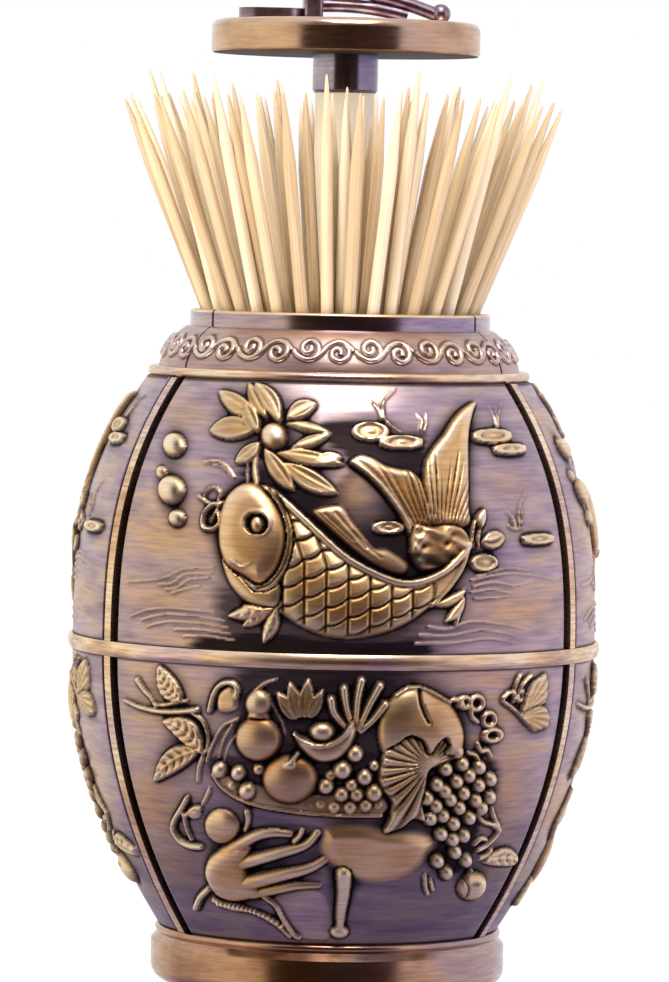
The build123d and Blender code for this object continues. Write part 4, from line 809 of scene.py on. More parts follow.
def cast_bronze(name):
    """Cast relief: mauve patina on the ground, gold where it is rubbed and on a painted glare, black patina
    and painted shade in the hollows, pale rubbed tops with a painted highlight.
    """
    material, tree, shader = new_material(name)
    place = object_place(tree)
    read = {key: attribute(tree, key) for key in MARKS}
    cloud = noise(tree, place, 70.0, 3.0, 0.55)
    streaks = brushed(tree, 190.0, 2300.0)
    broad = brushed(tree, 100.0, 420.0, 2.0)
    ground = ramp(tree, broad, ((0.30, "94849E"), (0.46, "AA9AAC"), (0.58, "BCAAB0"), (0.74, "CBB098")))
    gold_streaks = remap(tree, streaks, 0.25, 0.6, 0.55, 1.25)
    # gold on the rubbed ground, and on a painted glare
    gold_at = calc(tree, "MULTIPLY", read["polish"], gold_streaks, clamp=True)
    ground = mix(tree, gold_at, ground, linear("CFAA84"))
    relief = ramp(tree, cloud, ((0.3, "D0A672"), (0.5, "EBC994"), (0.7, "F8E0B2")))
    warm = ramp(tree, cloud, ((0.3, "9C6434"), (0.5, "CC9350"), (0.72, "E6B674")))
    relief = mix(tree, read["warm"], relief, warm)
    # pale gold on the rubbed tops: wear and a painted highlight
    relief = mix(tree, calc(tree, "MULTIPLY", read["worn"], 0.8), relief, linear("FFF0D4"))
    base = rubbed(tree, mix(tree, read["raised"], ground, relief), streaks, 0.82, 1.16)
    ground_rough = remap(tree, height_of(tree, place), 0.0997, 0.1000, 0.33, 0.17)
    rough = remap(tree, read["raised"], 0.0, 1.0, ground_rough, 0.36)
    # near black: dark patina and painted shade
    fill(tree, shader, {
        "Base Color": mix(tree, read["recess"], base, linear("150D10")),
        "Roughness": calc(tree, "MULTIPLY_ADD", read["recess"], 0.3, rough, clamp=True),
        "Normal": bumped(tree, streaks, 0.12, 0.00004),
        "Metallic": 1.0,
    })
    return material


def plain_surface(name, low, high, rough, size, metal=0.0, bump_depth=0.00002):
    """Moulded plastic, rubber, foam or plated steel with slight cloudiness and grain."""
    material, tree, shader = new_material(name)
    place = object_place(tree)
    grain = noise(tree, place, 2500.0, 2.0)
    fill(tree, shader, {
        "Base Color": ramp(tree, noise(tree, place, 1000 / size, 4.0), ((0.32, low), (0.68, high))),
        "Roughness": remap(tree, grain, 0.3, 0.7, rough - 0.05, rough + 0.07),
        "Normal": bumped(tree, grain, 0.3, bump_depth),
        "Metallic": metal,
    })
    return material


def bamboo(name):
    """Split bamboo, rounded and dried: long pale fibres, a little darker in each groove between them."""
    material, tree, shader = new_material(name)
    inputs = {"Vector": add(tree, "ShaderNodeUVMap", {"uv_map": "fibre"}).outputs[0],
              "Scale": (26.0, 3.0, 1.0)}
    drawn = add(tree, "ShaderNodeMapping", inputs=inputs)
    fibre = noise(tree, drawn.outputs[0], 1.0, 5.0, 0.6)
    base = ramp(tree, fibre, ((0.30, "AE8E64"), (0.47, "D4BE9A"), (0.66, "EADCC4")))
    deep = ramp(tree, attribute(tree, "tone"), ((0.0, "A9814F"), (0.5, "D3B88E"), (1.0, "EEE0C8")))
    fill(tree, shader, {
        "Base Color": mix(tree, 0.45, base, deep),
        "Roughness": 0.62,
        "Normal": bumped(tree, fibre, 0.35, 0.00005),
    })
    return material


RELIEF_BRONZE = cast_bronze("cast_bronze_antiqued")
BRIGHT_BRONZE = bronze("bright_bronze_brushed", "C49A76", "F0CEA4", "FFE9C8", "D2B6B6", 0.28)
FRIEZE_BRONZE = bronze("frieze_bronze_cast", "CDB09E", "E6D0BA", "F6E8D6", "D2BEC4", 0.30, patch_size=7.0)
LID_BRONZE = bronze("lid_bronze_brushed", "A8866E", "D0AE8E", "E6CAA2", "B49EA2", 0.18, streak=0.15,
                    patch_size=16.0, shade_below=0.14131)
TURNED_BRONZE = bronze("turned_bronze_brushed", "94705A", "BC9678", "D6B68E", "A08A92", 0.19, streak=0.2,
                       patch_size=16.0)
ORNAMENT_BRONZE = bronze("cast_bronze_dark", "6E5E6C", "9C8C9C", "C8B8BC", "7A6674", 0.30, patch_size=3.0)
GUNMETAL = bronze("black_nickel_plate", "8A829A", "A69FB4", "BDB6C8", "7C7288", 0.18, streak=0.15,
                  patch_size=6.0)
CREAM_PLASTIC = plain_surface("cream_polystyrene_moulded", "E9DCC0", "F3EAD6", 0.38, 14.0)
LINER_PLASTIC = plain_surface("ivory_polypropylene_moulded", "DED6C6", "EAE4D8", 0.45, 18.0)
ZINC_STEEL = plain_surface("zinc_plated_steel", "9FA3A6", "C9CCCE", 0.30, 6.0, metal=1.0)
RING_RUBBER = plain_surface("nitrile_rubber", "1B1A19", "262524", 0.60, 4.0)
PAD_FOAM = plain_surface("black_eva_foam", "1F1D1C", "2C2927", 0.85, 1.2, bump_depth=0.00012)
BAMBOO = bamboo("split_bamboo")


# ---------------------------------------------------------------- the barrel's shape, as in the CAD
RIM_HEIGHT, NECK_RADIUS, NECK_BORE_RADIUS, NECK_BAND_LOW = 102.4, 22.75, 21.4, 99.9
RIM_ROUNDING = ((0.45, 0.0), (0.35, 0.0), (0.13, 0.11), (0.0, 0.35))     # below the rim, in from the neck
FRIEZE_TOP_RADIUS, FRIEZE_BASE_RADIUS, FRIEZE_LOW, FRIEZE_BULGE = 23.2, 27.35, 93.85, 0.56
SHOULDER_RADIUS, SHOULDER_HEIGHT, SHOULDER_POWER = 28.95, 92.3, 2.75
BELLY_RADIUS, BELLY_HEIGHT = 39.7, 52.0
WAIST_RADIUS, WAIST_HEIGHT, WAIST_POWER = 25.8, 9.0, 2.0
UPPER_STAVE_LOW, LOWER_STAVE_HIGH = 52.5, 51.5
STAVE_WALL, FLANGE_UNDERSIDE, STAVE_BORE_RADIUS = 2.6, 96.0, 20.6
CONE_LOW, CONE_HIGH = 88.1, 93.3         # the wall narrows to the bore between these heights
HALF_GAP, GROOVE_EDGE, GROOVE_DEPTH = 0.15, 2.15, 1.3
EDGE_ROUNDING = 0.25
STAVE_HALF_ANGLE = math.radians(60)
PLACES = {"front": 0.0, "right": 120.0, "left": -120.0}

FRIEZE_ROWS, INNER_COLUMNS = 34, 12
NECK_EDGE, NECK_GROOVE_DEPTH = 0.24, 0.1
STEP = 0.01                              # height over which a step in the profile is drawn
# points down a groove's side: out from its edge (None: at the joint) and in from the surface
GROOVE_SIDE = ((0.07, -0.07), (0.0, -EDGE_ROUNDING), (0.0, -GROOVE_DEPTH), (None, -GROOVE_DEPTH))


def barrel_radius(z):
    up = np.clip((z - BELLY_HEIGHT) / (SHOULDER_HEIGHT - BELLY_HEIGHT), 0, None)
    down = np.clip((BELLY_HEIGHT - z) / (BELLY_HEIGHT - WAIST_HEIGHT), 0, None)
    shoulder = (BELLY_RADIUS - SHOULDER_RADIUS) * up**SHOULDER_POWER
    return BELLY_RADIUS - shoulder - (BELLY_RADIUS - WAIST_RADIUS) * down**WAIST_POWER


def frieze_radius(z):
    """The frieze's arc through its foot, its bulged middle and its top."""
    a, c = np.array([FRIEZE_BASE_RADIUS, FRIEZE_LOW]), np.array([FRIEZE_TOP_RADIUS, NECK_BAND_LOW])
    b = (a + c) / 2 + FRIEZE_BULGE
    m = 2 * np.array([b - a, c - a])
    centre = np.linalg.solve(m, np.array([b @ b - a @ a, c @ c - a @ a]))
    radius = np.hypot(*(a - centre))
    return centre[0] + np.sqrt(radius**2 - (z - centre[1])**2)


def new_object(name, data):
    made = bpy.data.objects.new(name, data)
    bpy.context.scene.collection.objects.link(made)
    return made


def shell_faces(rows, count):
    """Quads between rows of points that go round, and a face at each end."""
    index = np.arange(rows * count).reshape(rows, count)
    beside = np.roll(index, -1, axis=1)
    quads = np.stack([index[:-1], beside[:-1], beside[1:], index[1:]], -1).reshape(-1, 4)
    return quads.tolist() + [index[0][::-1].tolist(), index[-1].tolist()]


def new_piece(name, points, faces, material, sharp):
    """A mesh object from points in mm, with its finish. Edges over sharp degrees aren't smoothed."""
    mesh = bpy.data.meshes.new(name)
    mesh.from_pydata(np.asarray(points, float) * MM, [], faces)
    mesh.validate()
    mesh.shade_smooth()
    mesh.set_sharp_from_angle(angle=math.radians(sharp))
    mesh.materials.append(material)
    return new_object(name, mesh)


def at_points(field, relief, u, z):
    """Value of a drawn field at the given points."""
    c = np.clip((u - relief.u[0]) / PITCH, 0, len(relief.u) - 1.001)
    r = np.clip((z - relief.z[0]) / PITCH, 0, len(relief.z) - 1.001)
    c0, r0 = c.astype(int), r.astype(int)
    c, r = c - c0, r - r0
    return (field[r0, c0] * (1 - r) * (1 - c) + field[r0, c0 + 1] * (1 - r) * c
            + field[r0 + 1, c0] * r * (1 - c) + field[r0 + 1, c0 + 1] * r * c)


def panel_columns(half_width, fine_low, fine_high, fine, coarse):
    """Places across a panel, -1 to 1, close together where the relief is."""
    left = np.arange(-half_width, fine_low, coarse)
    middle = np.arange(fine_low, fine_high, fine)
    right = np.arange(fine_high, half_width + coarse, coarse)
    u = np.concatenate([left, middle, right])
    return np.clip((u - u[0]) / (u[-1] - u[0]) * 2 - 1, -1, 1)


def relief_marks(relief):
    """What the finish reads, from the drawn heights: raised parts; dark patina and painted shade in the
    hollows, round the feet of forms and on steep flanks; warm tint; rubbed tops with a painted highlight.
    """
    height = relief.height
    cavity = np.clip((blur(height, 0.5) - height - 0.01) / 0.15, 0, 1)
    wide = np.clip((blur(height, 1.4) - height - 0.03) / 0.36, 0, 1)
    # painted shade: steep flanks darker than the tops
    climb = np.hypot(*np.gradient(blur(height, 0.2), PITCH))
    flank = 0.75 * np.clip((climb - 0.75) / 1.1, 0, 1)
    dark = np.maximum(np.maximum(cavity, 0.9 * wide), np.maximum(relief.shade, flank))
    # tops standing out of their surroundings are lighter: wear and a painted highlight
    worn = np.clip((height - blur(height, 1.2) - 0.08) / 0.45, 0, 1)
    return {"raised": np.clip(height / 0.5, 0, 1), "recess": np.clip(dark, 0, 1), "warm": relief.warm,
            "worn": worn}


def stave_profile(low, panel_top, row_step, neck):
    """Height, outer and inner radius of each row of a stave, and 1 where it crosses the panel."""
    z = np.linspace(low, panel_top, int((panel_top - low) / row_step) + 1)
    outer, drawn = barrel_radius(z), np.ones(len(z))
    if neck:
        arc = np.linspace(FRIEZE_LOW, NECK_BAND_LOW, FRIEZE_ROWS)
        upper_z = [SHOULDER_HEIGHT + STEP, *arc, NECK_BAND_LOW + STEP, NECK_BAND_LOW + 0.12]
        upper_r = [FRIEZE_BASE_RADIUS, *frieze_radius(arc), NECK_RADIUS, NECK_RADIUS]
        upper_z += [RIM_HEIGHT - below for below, _ in RIM_ROUNDING]
        upper_r += [NECK_RADIUS - inward for _, inward in RIM_ROUNDING]
        flange = [FLANGE_UNDERSIDE - STEP, FLANGE_UNDERSIDE + STEP]
        upper_r = np.concatenate([np.interp(flange, upper_z, upper_r), upper_r])
        upper_z = np.array(flange + upper_z)
        order = np.argsort(upper_z)
        z = np.concatenate([z, upper_z[order]])
        outer = np.concatenate([outer, upper_r[order]])
        drawn = np.concatenate([drawn, np.zeros(len(order))])
    inner = np.where(z > CONE_HIGH, STAVE_BORE_RADIUS, barrel_radius(z) - STAVE_WALL)
    inner[z > FLANGE_UNDERSIDE] = NECK_BORE_RADIUS
    cone = (z > CONE_LOW) & (z <= CONE_HIGH)
    cone_radii = [barrel_radius(CONE_LOW) - STAVE_WALL, STAVE_BORE_RADIUS]
    inner[cone] = np.interp(z[cone], [CONE_LOW, CONE_HIGH], cone_radii)
    return z, outer, inner, drawn


def groove_side(radius, on_panel):
    """Radius, angle and darkness of the points down the groove along a stave's side: dark patina and
    painted shade.
    """
    points = []
    for offset, drop in GROOVE_SIDE:
        if on_panel:
            away = HALF_GAP if offset is None else GROOVE_EDGE + offset
            dark = min(1.0, max(0.0, (-drop - 0.1) / 0.2))
        else:
            away = HALF_GAP if offset is None else max(NECK_EDGE + 0.06 * drop, HALF_GAP)
            drop = max(drop, -NECK_GROOVE_DEPTH) * 0.9
            dark = 0.9 if offset is None else 0.3
        at = radius + drop
        points.append((at, STAVE_HALF_ANGLE - math.asin(away / at), dark))
    return np.array(points).T


def stave_mesh(name, relief, low, high, columns, row_step, neck, turn, polish):
    """One stave as a closed shell: relief outside, grooves along its sides, plain wall inside."""
    panel_top = SHOULDER_HEIGHT if neck else high
    z, outer, inner, drawn = stave_profile(low, panel_top, row_step, neck)
    lean = np.arctan(-np.gradient(barrel_radius(z), z) * drawn)
    edge = np.where(drawn > 0, GROOVE_EDGE + EDGE_ROUNDING, 0.3)
    reach = STAVE_HALF_ANGLE - np.arcsin(edge / outer)
    fields = relief_marks(relief)
    low_line, top_line = (0.62, 0.12) if neck else (0.1, 0.65)     # the panel's dark hems, in from its ends
    points, marks = [], {key: [] for key in MARKS}
    for i in range(len(z)):
        angle = columns * reach[i]
        u = angle * outer[i]
        zz = np.full_like(u, z[i])
        # the relief sinks to nothing at the panel's sides and ends
        fade = np.clip((1 - np.abs(columns)) * reach[i] * outer[i] / 0.4, 0, 1) * drawn[i]
        values = {key: at_points(field, relief, u, zz) * fade for key, field in fields.items()}
        values["polish"] = polish(u, z[i]) * drawn[i]
        h = at_points(relief.height, relief, u, zz) * fade
        if drawn[i]:
            h = h * np.clip(min(z[i] - low - 0.55, panel_top - z[i] - 0.05) / 0.3, 0, 1)
            line = math.exp(-((min(z[i] - low - low_line, panel_top - z[i] - top_line) / 0.24) ** 2))
            values["recess"] = np.maximum(values["recess"], 0.95 * line)
        if FRIEZE_LOW <= z[i] <= NECK_BAND_LOW:
            share = (z[i] - FRIEZE_LOW) / (NECK_BAND_LOW - FRIEZE_LOW)
            values["polish"] = np.full_like(u, 0.4)
            values["recess"] = scroll_shadow(np.degrees(angle) + turn, share)
        if z[i] > RIM_HEIGHT - 0.4:
            values["raised"] = np.ones_like(u)
            values["worn"] = np.full_like(u, 0.4)
        # round the stave: its face, one side, the inner wall and the other side
        side_r, side_a, side_dark = groove_side(outer[i], drawn[i])
        inner_edge = STAVE_HALF_ANGLE - math.asin(HALF_GAP / inner[i])
        inner_a = np.linspace(inner_edge, -inner_edge, INNER_COLUMNS)
        face_r = outer[i] + h * math.cos(lean[i])
        ring_r = np.concatenate([face_r, side_r, np.full(INNER_COLUMNS, inner[i]), side_r[::-1]])
        ring_a = np.concatenate([angle, side_a, inner_a, -side_a[::-1]]) + math.radians(turn - 90)
        ring_z = np.full(len(ring_r), z[i])
        ring_z[:len(u)] += h * math.sin(lean[i])
        points.append(np.stack([ring_r * np.cos(ring_a), ring_r * np.sin(ring_a), ring_z], 1))
        for key in MARKS:
            dark = key == "recess"
            side, inside = side_dark * dark, np.full(INNER_COLUMNS, 0.6 * dark)
            marks[key].append(np.concatenate([values[key], side, inside, side[::-1]]))
    faces = shell_faces(len(z), len(points[0]))
    piece = new_piece(name, np.concatenate(points), faces, RELIEF_BRONZE, sharp=60.0)
    for key, rows in marks.items():
        layer = piece.data.attributes.new(key, "FLOAT", "POINT")
        layer.data.foreach_set("value", np.concatenate(rows).astype(np.float32))
    return piece


def patches(spots, base):
    """Gold patches on the ground, rubbed ones and a painted glare: each spot is (u, z, half width, half
    height, strength).
    """
    def value(u, z):
        total = np.full_like(u, base)
        for at_u, at_z, ru, rz, strength in spots:
            total = total + strength * np.exp(-(((u - at_u) / ru) ** 2 + ((z - at_z) / rz) ** 2))
        return np.clip(total, 0, 1)
    return value


# rubbed gold patches; the spot at the top middle, (0.0, 90.5), is a painted glare
UPPER_RUBBED_AND_GLARE = patches((
    (0.0, 90.5, 5.0, 2.0, 0.35), (-28.0, 70.0, 9.0, 4.0, 0.75), (-27.0, 87.0, 6.0, 2.5, 0.5),
    (-30.0, 60.0, 8.0, 2.5, 0.6), (26.0, 78.0, 6.0, 2.5, 0.35), (28.0, 59.5, 9.0, 3.0, 0.7),
    (-24.0, 54.5, 9.0, 1.4, 0.4), (0.5, 76.5, 3.0, 3.5, 0.8)), 0.12)
LOWER_RUBBED = patches((
    (-31.0, 29.0, 6.5, 6.0, 0.85), (-30.0, 45.0, 8.0, 6.0, 0.55), (27.0, 33.0, 6.0, 9.0, 0.65),
    (22.0, 49.5, 10.0, 1.8, 0.6), (6.0, 13.0, 12.0, 1.6, 0.12), (-26.0, 20.0, 5.0, 3.0, 0.5),
    (26.0, 44.0, 7.0, 2.5, 0.35)), 0.08)
RELIEF_HALF_WIDTH = 42


def make_staves():
    upper = Relief(RELIEF_HALF_WIDTH, 52.3, 92.4)
    upper_relief(upper)
    lower = Relief(RELIEF_HALF_WIDTH, 8.9, 51.7)
    lower_relief(lower)
    step = 1.0
    upper_columns = panel_columns(37, -23, 25, 0.19 * step, 0.32 * step)
    lower_columns = panel_columns(36, -28, 26, 0.20 * step, 0.34 * step)
    for place, turn in PLACES.items():
        for half, relief, low, high, columns, polish in (
            ("upper", upper, UPPER_STAVE_LOW, RIM_HEIGHT, upper_columns, UPPER_RUBBED_AND_GLARE),
            ("lower", lower, WAIST_HEIGHT, LOWER_STAVE_HIGH, lower_columns, LOWER_RUBBED),
        ):
            piece = stave_mesh(f"{half}_stave_{place}_cast", relief, low, high, columns, 0.2 * step,
                               half == "upper", turn, polish)
            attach(piece, "vessel")
            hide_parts(f"{half}_stave_{place}")


# ---------------------------------------------------------------- scroll frieze
SCROLL_FIELD = 6.5        # height of the frieze in the units of scroll_lines
SCROLL_PITCH = 4.42       # from one scroll to the next
SCROLL_PAIRS = 18
SCROLL_START = -53.0      # degrees from the front to the first scroll's middle
SCROLL_MIDDLE_RADIUS = float(frieze_radius(np.array(96.9)))
SCROLL_LINE_RADIUS, SHADOW_START = 0.43, 0.42


def on_frieze(angle, share, proud):
    """Point on the frieze: angle in degrees from the front, share of its height."""
    z = FRIEZE_LOW + share * (NECK_BAND_LOW - FRIEZE_LOW)
    r = frieze_radius(z) + proud
    a = math.radians(angle - 90)
    return Vector((r * math.cos(a), r * math.sin(a), z)) * MM


def scroll_lines():
    """The running frieze's two scrolls, one curling up and one down, in mm from their middle line."""
    lines = []
    for number, side in ((0, 1), (1, -1)):
        middle = number * SCROLL_PITCH
        c = 0.35 * side
        wave = [(-SCROLL_PITCH / 2, 0.0), (-1.75, c * 0.4 - 0.75 * side), (-0.9, c - 1.5 * side),
                (0.0, c - 1.75 * side), (1.0, c - 1.5 * side), (1.8, c - 0.85 * side),
                (SCROLL_PITCH / 2, 0.0)]
        curl = [(0.9, -1.55), (1.55, -0.6), (1.35, 0.55), (0.3, 1.2), (-0.75, 0.75), (-0.95, -0.15),
                (-0.3, -0.75), (0.4, -0.35), (0.35, 0.25)]
        lines.append([(middle + x, y) for x, y in wave])
        lines.append([(middle + x, c + y * side) for x, y in curl])
    return lines


def scroll_shadow(angles, share):
    """Painted shade and dark patina on the frieze close to the scrolls, for angles in degrees from the
    front.
    """
    period = 2 * math.pi * SCROLL_MIDDLE_RADIUS / SCROLL_PAIRS
    x = (np.radians(angles - SCROLL_START) * SCROLL_MIDDLE_RADIUS + SCROLL_PITCH
         / 2) % period - SCROLL_PITCH / 2
    y = (share - 0.5) * SCROLL_FIELD
    drawn = np.concatenate([smooth_line(line, count=10) for line in scroll_lines()])
    away = np.hypot(x[:, None] - drawn[None, :, 0], y - drawn[None, :, 1]).min(1)
    return 0.02 + 0.72 * np.exp(-(np.clip(away - SHADOW_START, 0, None) / 0.22)**2)


def scroll_curve():
    """One pair of scrolls as lines on the frieze."""
    curve = bpy.data.curves.new("frieze_scroll_lines", "CURVE")
    curve.dimensions = "3D"
    for line in scroll_lines():
        fine = smooth_line(line, count=5)
        spline = curve.splines.new("POLY")
        spline.points.add(len(fine) - 1)
        for point, (x, y) in zip(spline.points, fine):
            angle = SCROLL_START + math.degrees(x / SCROLL_MIDDLE_RADIUS)
            point.co = (*on_frieze(angle, 0.5 + y / SCROLL_FIELD, 0.02), 1.0)
    return curve


def ring_of_sweeps():
    """Node group that sweeps lines once and repeats them round the z axis."""
    tree = bpy.data.node_groups.new("scrolls_round_the_neck", "GeometryNodeTree")
    for name, kind, way in (
        ("Geometry", "NodeSocketGeometry", "INPUT"),
        ("Line Radius", "NodeSocketFloat", "INPUT"),
        ("Repeats", "NodeSocketInt", "INPUT"),
        ("Material", "NodeSocketMaterial", "INPUT"),
        ("Geometry", "NodeSocketGeometry", "OUTPUT"),
    ):
        tree.interface.new_socket(name, in_out=way, socket_type=kind)
    given = add(tree, "NodeGroupInput").outputs
    section = add(tree, "GeometryNodeCurvePrimitiveCircle",
                  inputs={"Resolution": 8, "Radius": given["Line Radius"]})
    inputs = {"Curve": given["Geometry"], "Profile Curve": section.outputs[0], "Fill Caps": True}
    swept = add(tree, "GeometryNodeCurveToMesh", inputs=inputs)
    stations = add(tree, "GeometryNodePoints", inputs={"Count": given["Repeats"]})
    number = add(tree, "GeometryNodeInputIndex")
    turn = calc(tree, "MULTIPLY", calc(tree, "DIVIDE", number.outputs[0], given["Repeats"]), 2 * math.pi)
    turned = add(tree, "ShaderNodeCombineXYZ", inputs={2: turn})
    inputs = {"Points": stations.outputs[0], "Instance": swept.outputs[0], "Rotation": turned.outputs[0]}
    copies = add(tree, "GeometryNodeInstanceOnPoints", inputs=inputs)
    real = add(tree, "GeometryNodeRealizeInstances", inputs={0: copies.outputs[0]})
    smooth = add(tree, "GeometryNodeSetShadeSmooth", inputs={"Geometry": real.outputs[0]})
    inputs = {"Geometry": smooth.outputs[0], "Material": given["Material"]}
    dressed = add(tree, "GeometryNodeSetMaterial", inputs=inputs)
    add(tree, "NodeGroupOutput", inputs={0: dressed.outputs[0]})
    return tree


def make_frieze():
    """The scrolls are swept once and repeated round the neck."""
    holder = new_object("frieze_scrolls", scroll_curve())
    modifier = holder.modifiers.new("scrolls", "NODES")
    modifier.node_group = ring_of_sweeps()
    sockets = modifier.node_group.interface.items_tree
    keys = {item.name: item.identifier for item in sockets if item.in_out == "INPUT"}
    modifier[keys["Line Radius"]] = SCROLL_LINE_RADIUS * MM
    modifier[keys["Repeats"]] = SCROLL_PAIRS
    modifier[keys["Material"]] = FRIEZE_BRONZE
    bpy.context.view_layer.update()
    mesh = bpy.data.meshes.new_from_object(holder.evaluated_get(bpy.context.evaluated_depsgraph_get()))
    bpy.data.objects.remove(holder)
    piece = new_object("frieze_scrolls", mesh)
    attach(piece, "vessel")


# ---------------------------------------------------------------- toothpicks, placed as in the CAD
PICK_LENGTH, PICK_RADIUS, PICK_TIP_RADIUS, PICK_TAPER = 65.0, 0.95, 0.22, 11.0
PICK_GAP, PICK_TURN, PICK_SIDES = 0.15, 1.4, 12
TROUGH_HEIGHT, TROUGH_RADIUS, TRAY_SLOPE = 72.9, 7.0, 29.0
OUTER_PLACES, HIGH_EVERY, INNER_COUNT = 36, 3, 18
LOW_FOOT_RADIUS, LOW_FOOT_SPREAD = 8.4, 0.9
HIGH_FOOT_RADIUS, HIGH_FOOT_SPREAD, HIGH_RIM_INSET = 11.9, 0.6, 0.45
INNER_FOOT_RADIUS, INNER_FOOT_SPREAD, INNER_RIM_INSET, INNER_RIM_SPREAD = 6.1, 0.35, 4.2, 1.2
WOBBLE_STEP, WOBBLE_OFFSET = 137.508, 40
# toothpicks between the CAD's rings, only drawn here
FRONT_FILLING, BACK_FILLING, MIDDLE_FILLING = 20, 12, 5


def wobble(index, kind):
    """Even but unordered value between -1 and 1 for each toothpick."""
    return math.sin(math.radians(WOBBLE_STEP * (index + 1) * (kind + 1) + WOBBLE_OFFSET * kind))


def toothpick_places():
    """Group, azimuth, foot radius, rim radius and turn of each toothpick."""
    lean = math.atan((NECK_BORE_RADIUS - LOW_FOOT_RADIUS) / (RIM_HEIGHT - TROUGH_HEIGHT))
    rim = NECK_BORE_RADIUS - PICK_RADIUS / math.cos(lean) - PICK_GAP
    for i in range(OUTER_PLACES):
        azimuth, turn = 360 * i / OUTER_PLACES, PICK_TURN * wobble(i, 1)
        if i % HIGH_EVERY == 2:
            foot = HIGH_FOOT_RADIUS + HIGH_FOOT_SPREAD * wobble(i, 0)
            yield "high", azimuth, foot, rim - HIGH_RIM_INSET, turn
        else:
            foot = LOW_FOOT_RADIUS + LOW_FOOT_SPREAD * (1 + wobble(i, 0)) / 2
            yield "low", azimuth, foot, rim, turn / 2
    for i in range(INNER_COUNT):
        foot = INNER_FOOT_RADIUS + INNER_FOOT_SPREAD * (1 + wobble(i, 2)) / 2
        inset = INNER_RIM_INSET + INNER_RIM_SPREAD * (1 + wobble(i, 3)) / 2
        yield "inner", 360 * (i + 0.5) / INNER_COUNT, foot, rim - inset, PICK_TURN * wobble(i, 4)
    for i in range(FRONT_FILLING + BACK_FILLING):
        if i < FRONT_FILLING:
            share = (2 * i + 1) / FRONT_FILLING - 1
            azimuth = 90 * (0.72 * share + 0.28 * share**3)
        else:
            azimuth = 90 * ((2 * (i - FRONT_FILLING) + 1) / BACK_FILLING + 1)
        inset = 2.4 + 0.4 * (1 + wobble(i, 3))
        yield "filling", azimuth, 7.3 + 0.4 * wobble(i, 2), rim - inset, 0.9 * wobble(i, 4)
    for i in range(MIDDLE_FILLING):
        azimuth = 20.0 * (i - MIDDLE_FILLING // 2) + 2.5 * wobble(i, 1)
        inset = 4.9 + 0.5 * wobble(i, 3)
        yield "filling", azimuth, 7.6 + 0.3 * wobble(i, 2), rim - inset, 1.6 * wobble(i, 4)


def toothpick_sections():
    """Place of each section along a toothpick, and its radius: two blunt points and a round shaft."""
    point = np.array([0.0, 0.25, 1.0, 2.6, 5.0, 8.0, PICK_TAPER])
    s = np.concatenate([point, [20.0, 32.5, 45.0], PICK_LENGTH - point[::-1]])
    taper = np.clip(np.minimum(s, PICK_LENGTH - s) / PICK_TAPER, 0, 1)
    slim = PICK_TIP_RADIUS * 0.55
    radius = slim + (PICK_RADIUS - slim) * taper**0.85
    radius[0] = radius[-1] = 0.03
    return s, np.minimum(radius, PICK_TIP_RADIUS + (PICK_RADIUS - PICK_TIP_RADIUS) * taper)


def toothpick_mesh(name, number, place, s, radius):
    """A toothpick, slightly bowed and flattened, with its fibres' direction and its tone."""
    a = np.arange(PICK_SIDES) * 2 * math.pi / PICK_SIDES + 2.4 * number
    bow = 0.10 * wobble(number, 6) * np.sin(np.pi * s / PICK_LENGTH)
    flat = 1.0 - 0.05 * (1 + wobble(number, 7)) * np.abs(np.sin(a))
    x = radius[:, None] * (np.cos(a) * flat)[None] + bow[:, None]
    y = radius[:, None] * (np.sin(a) * flat)[None]
    local = np.stack([x, y, np.repeat(s[:, None], PICK_SIDES, 1)], -1).reshape(-1, 3)
    points = local @ np.array(place.to_3x3()).T + np.array(place.translation)
    piece = new_piece(name, points, shell_faces(len(s), PICK_SIDES), BAMBOO, sharp=70.0)
    mesh = piece.data
    around = np.tile(np.arange(PICK_SIDES) / PICK_SIDES, len(s))
    along = np.repeat(s / PICK_LENGTH, PICK_SIDES)
    loops = np.zeros(len(mesh.loops), int)
    mesh.loops.foreach_get("vertex_index", loops)
    uv = np.stack([around[loops] + 0.37 * number, along[loops] + 1.7 * number], 1)
    mesh.uv_layers.new(name="fibre").data.foreach_set("uv", uv.ravel().astype(np.float32))
    tone = np.full(len(mesh.vertices), 0.5 + 0.5 * wobble(number, 5), np.float32)
    mesh.attributes.new("tone", "FLOAT", "POINT").data.foreach_set("value", tone)
    return piece


def make_toothpicks():
    s, radius = toothpick_sections()
    groups = {"low": [], "high": [], "inner": [], "filling": []}
    for number, (group, azimuth, foot, rim, turn) in enumerate(toothpick_places()):
        rise = max(foot - TROUGH_RADIUS, 0) * math.tan(math.radians(TRAY_SLOPE))
        foot_height = TROUGH_HEIGHT + rise + PICK_TIP_RADIUS
        lean = math.atan((rim - foot) / (RIM_HEIGHT - foot_height))
        out = math.radians(azimuth - 90)
        place = (Matrix.Rotation(out, 4, "Z") @ Matrix.Translation((foot, 0, foot_height))
                 @ Matrix.Rotation(lean, 4, "Y") @ Matrix.Rotation(math.radians(turn), 4, "X"))
        name = f"toothpick_{group}_{len(groups[group]) + 1:02d}"
        piece = toothpick_mesh(name, number, place, s, radius)
        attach(piece, "lift")
        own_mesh(piece)
        groups[group].append(piece)
    for group in ("low", "high", "inner"):
        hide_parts(f"toothpicks_{group}")


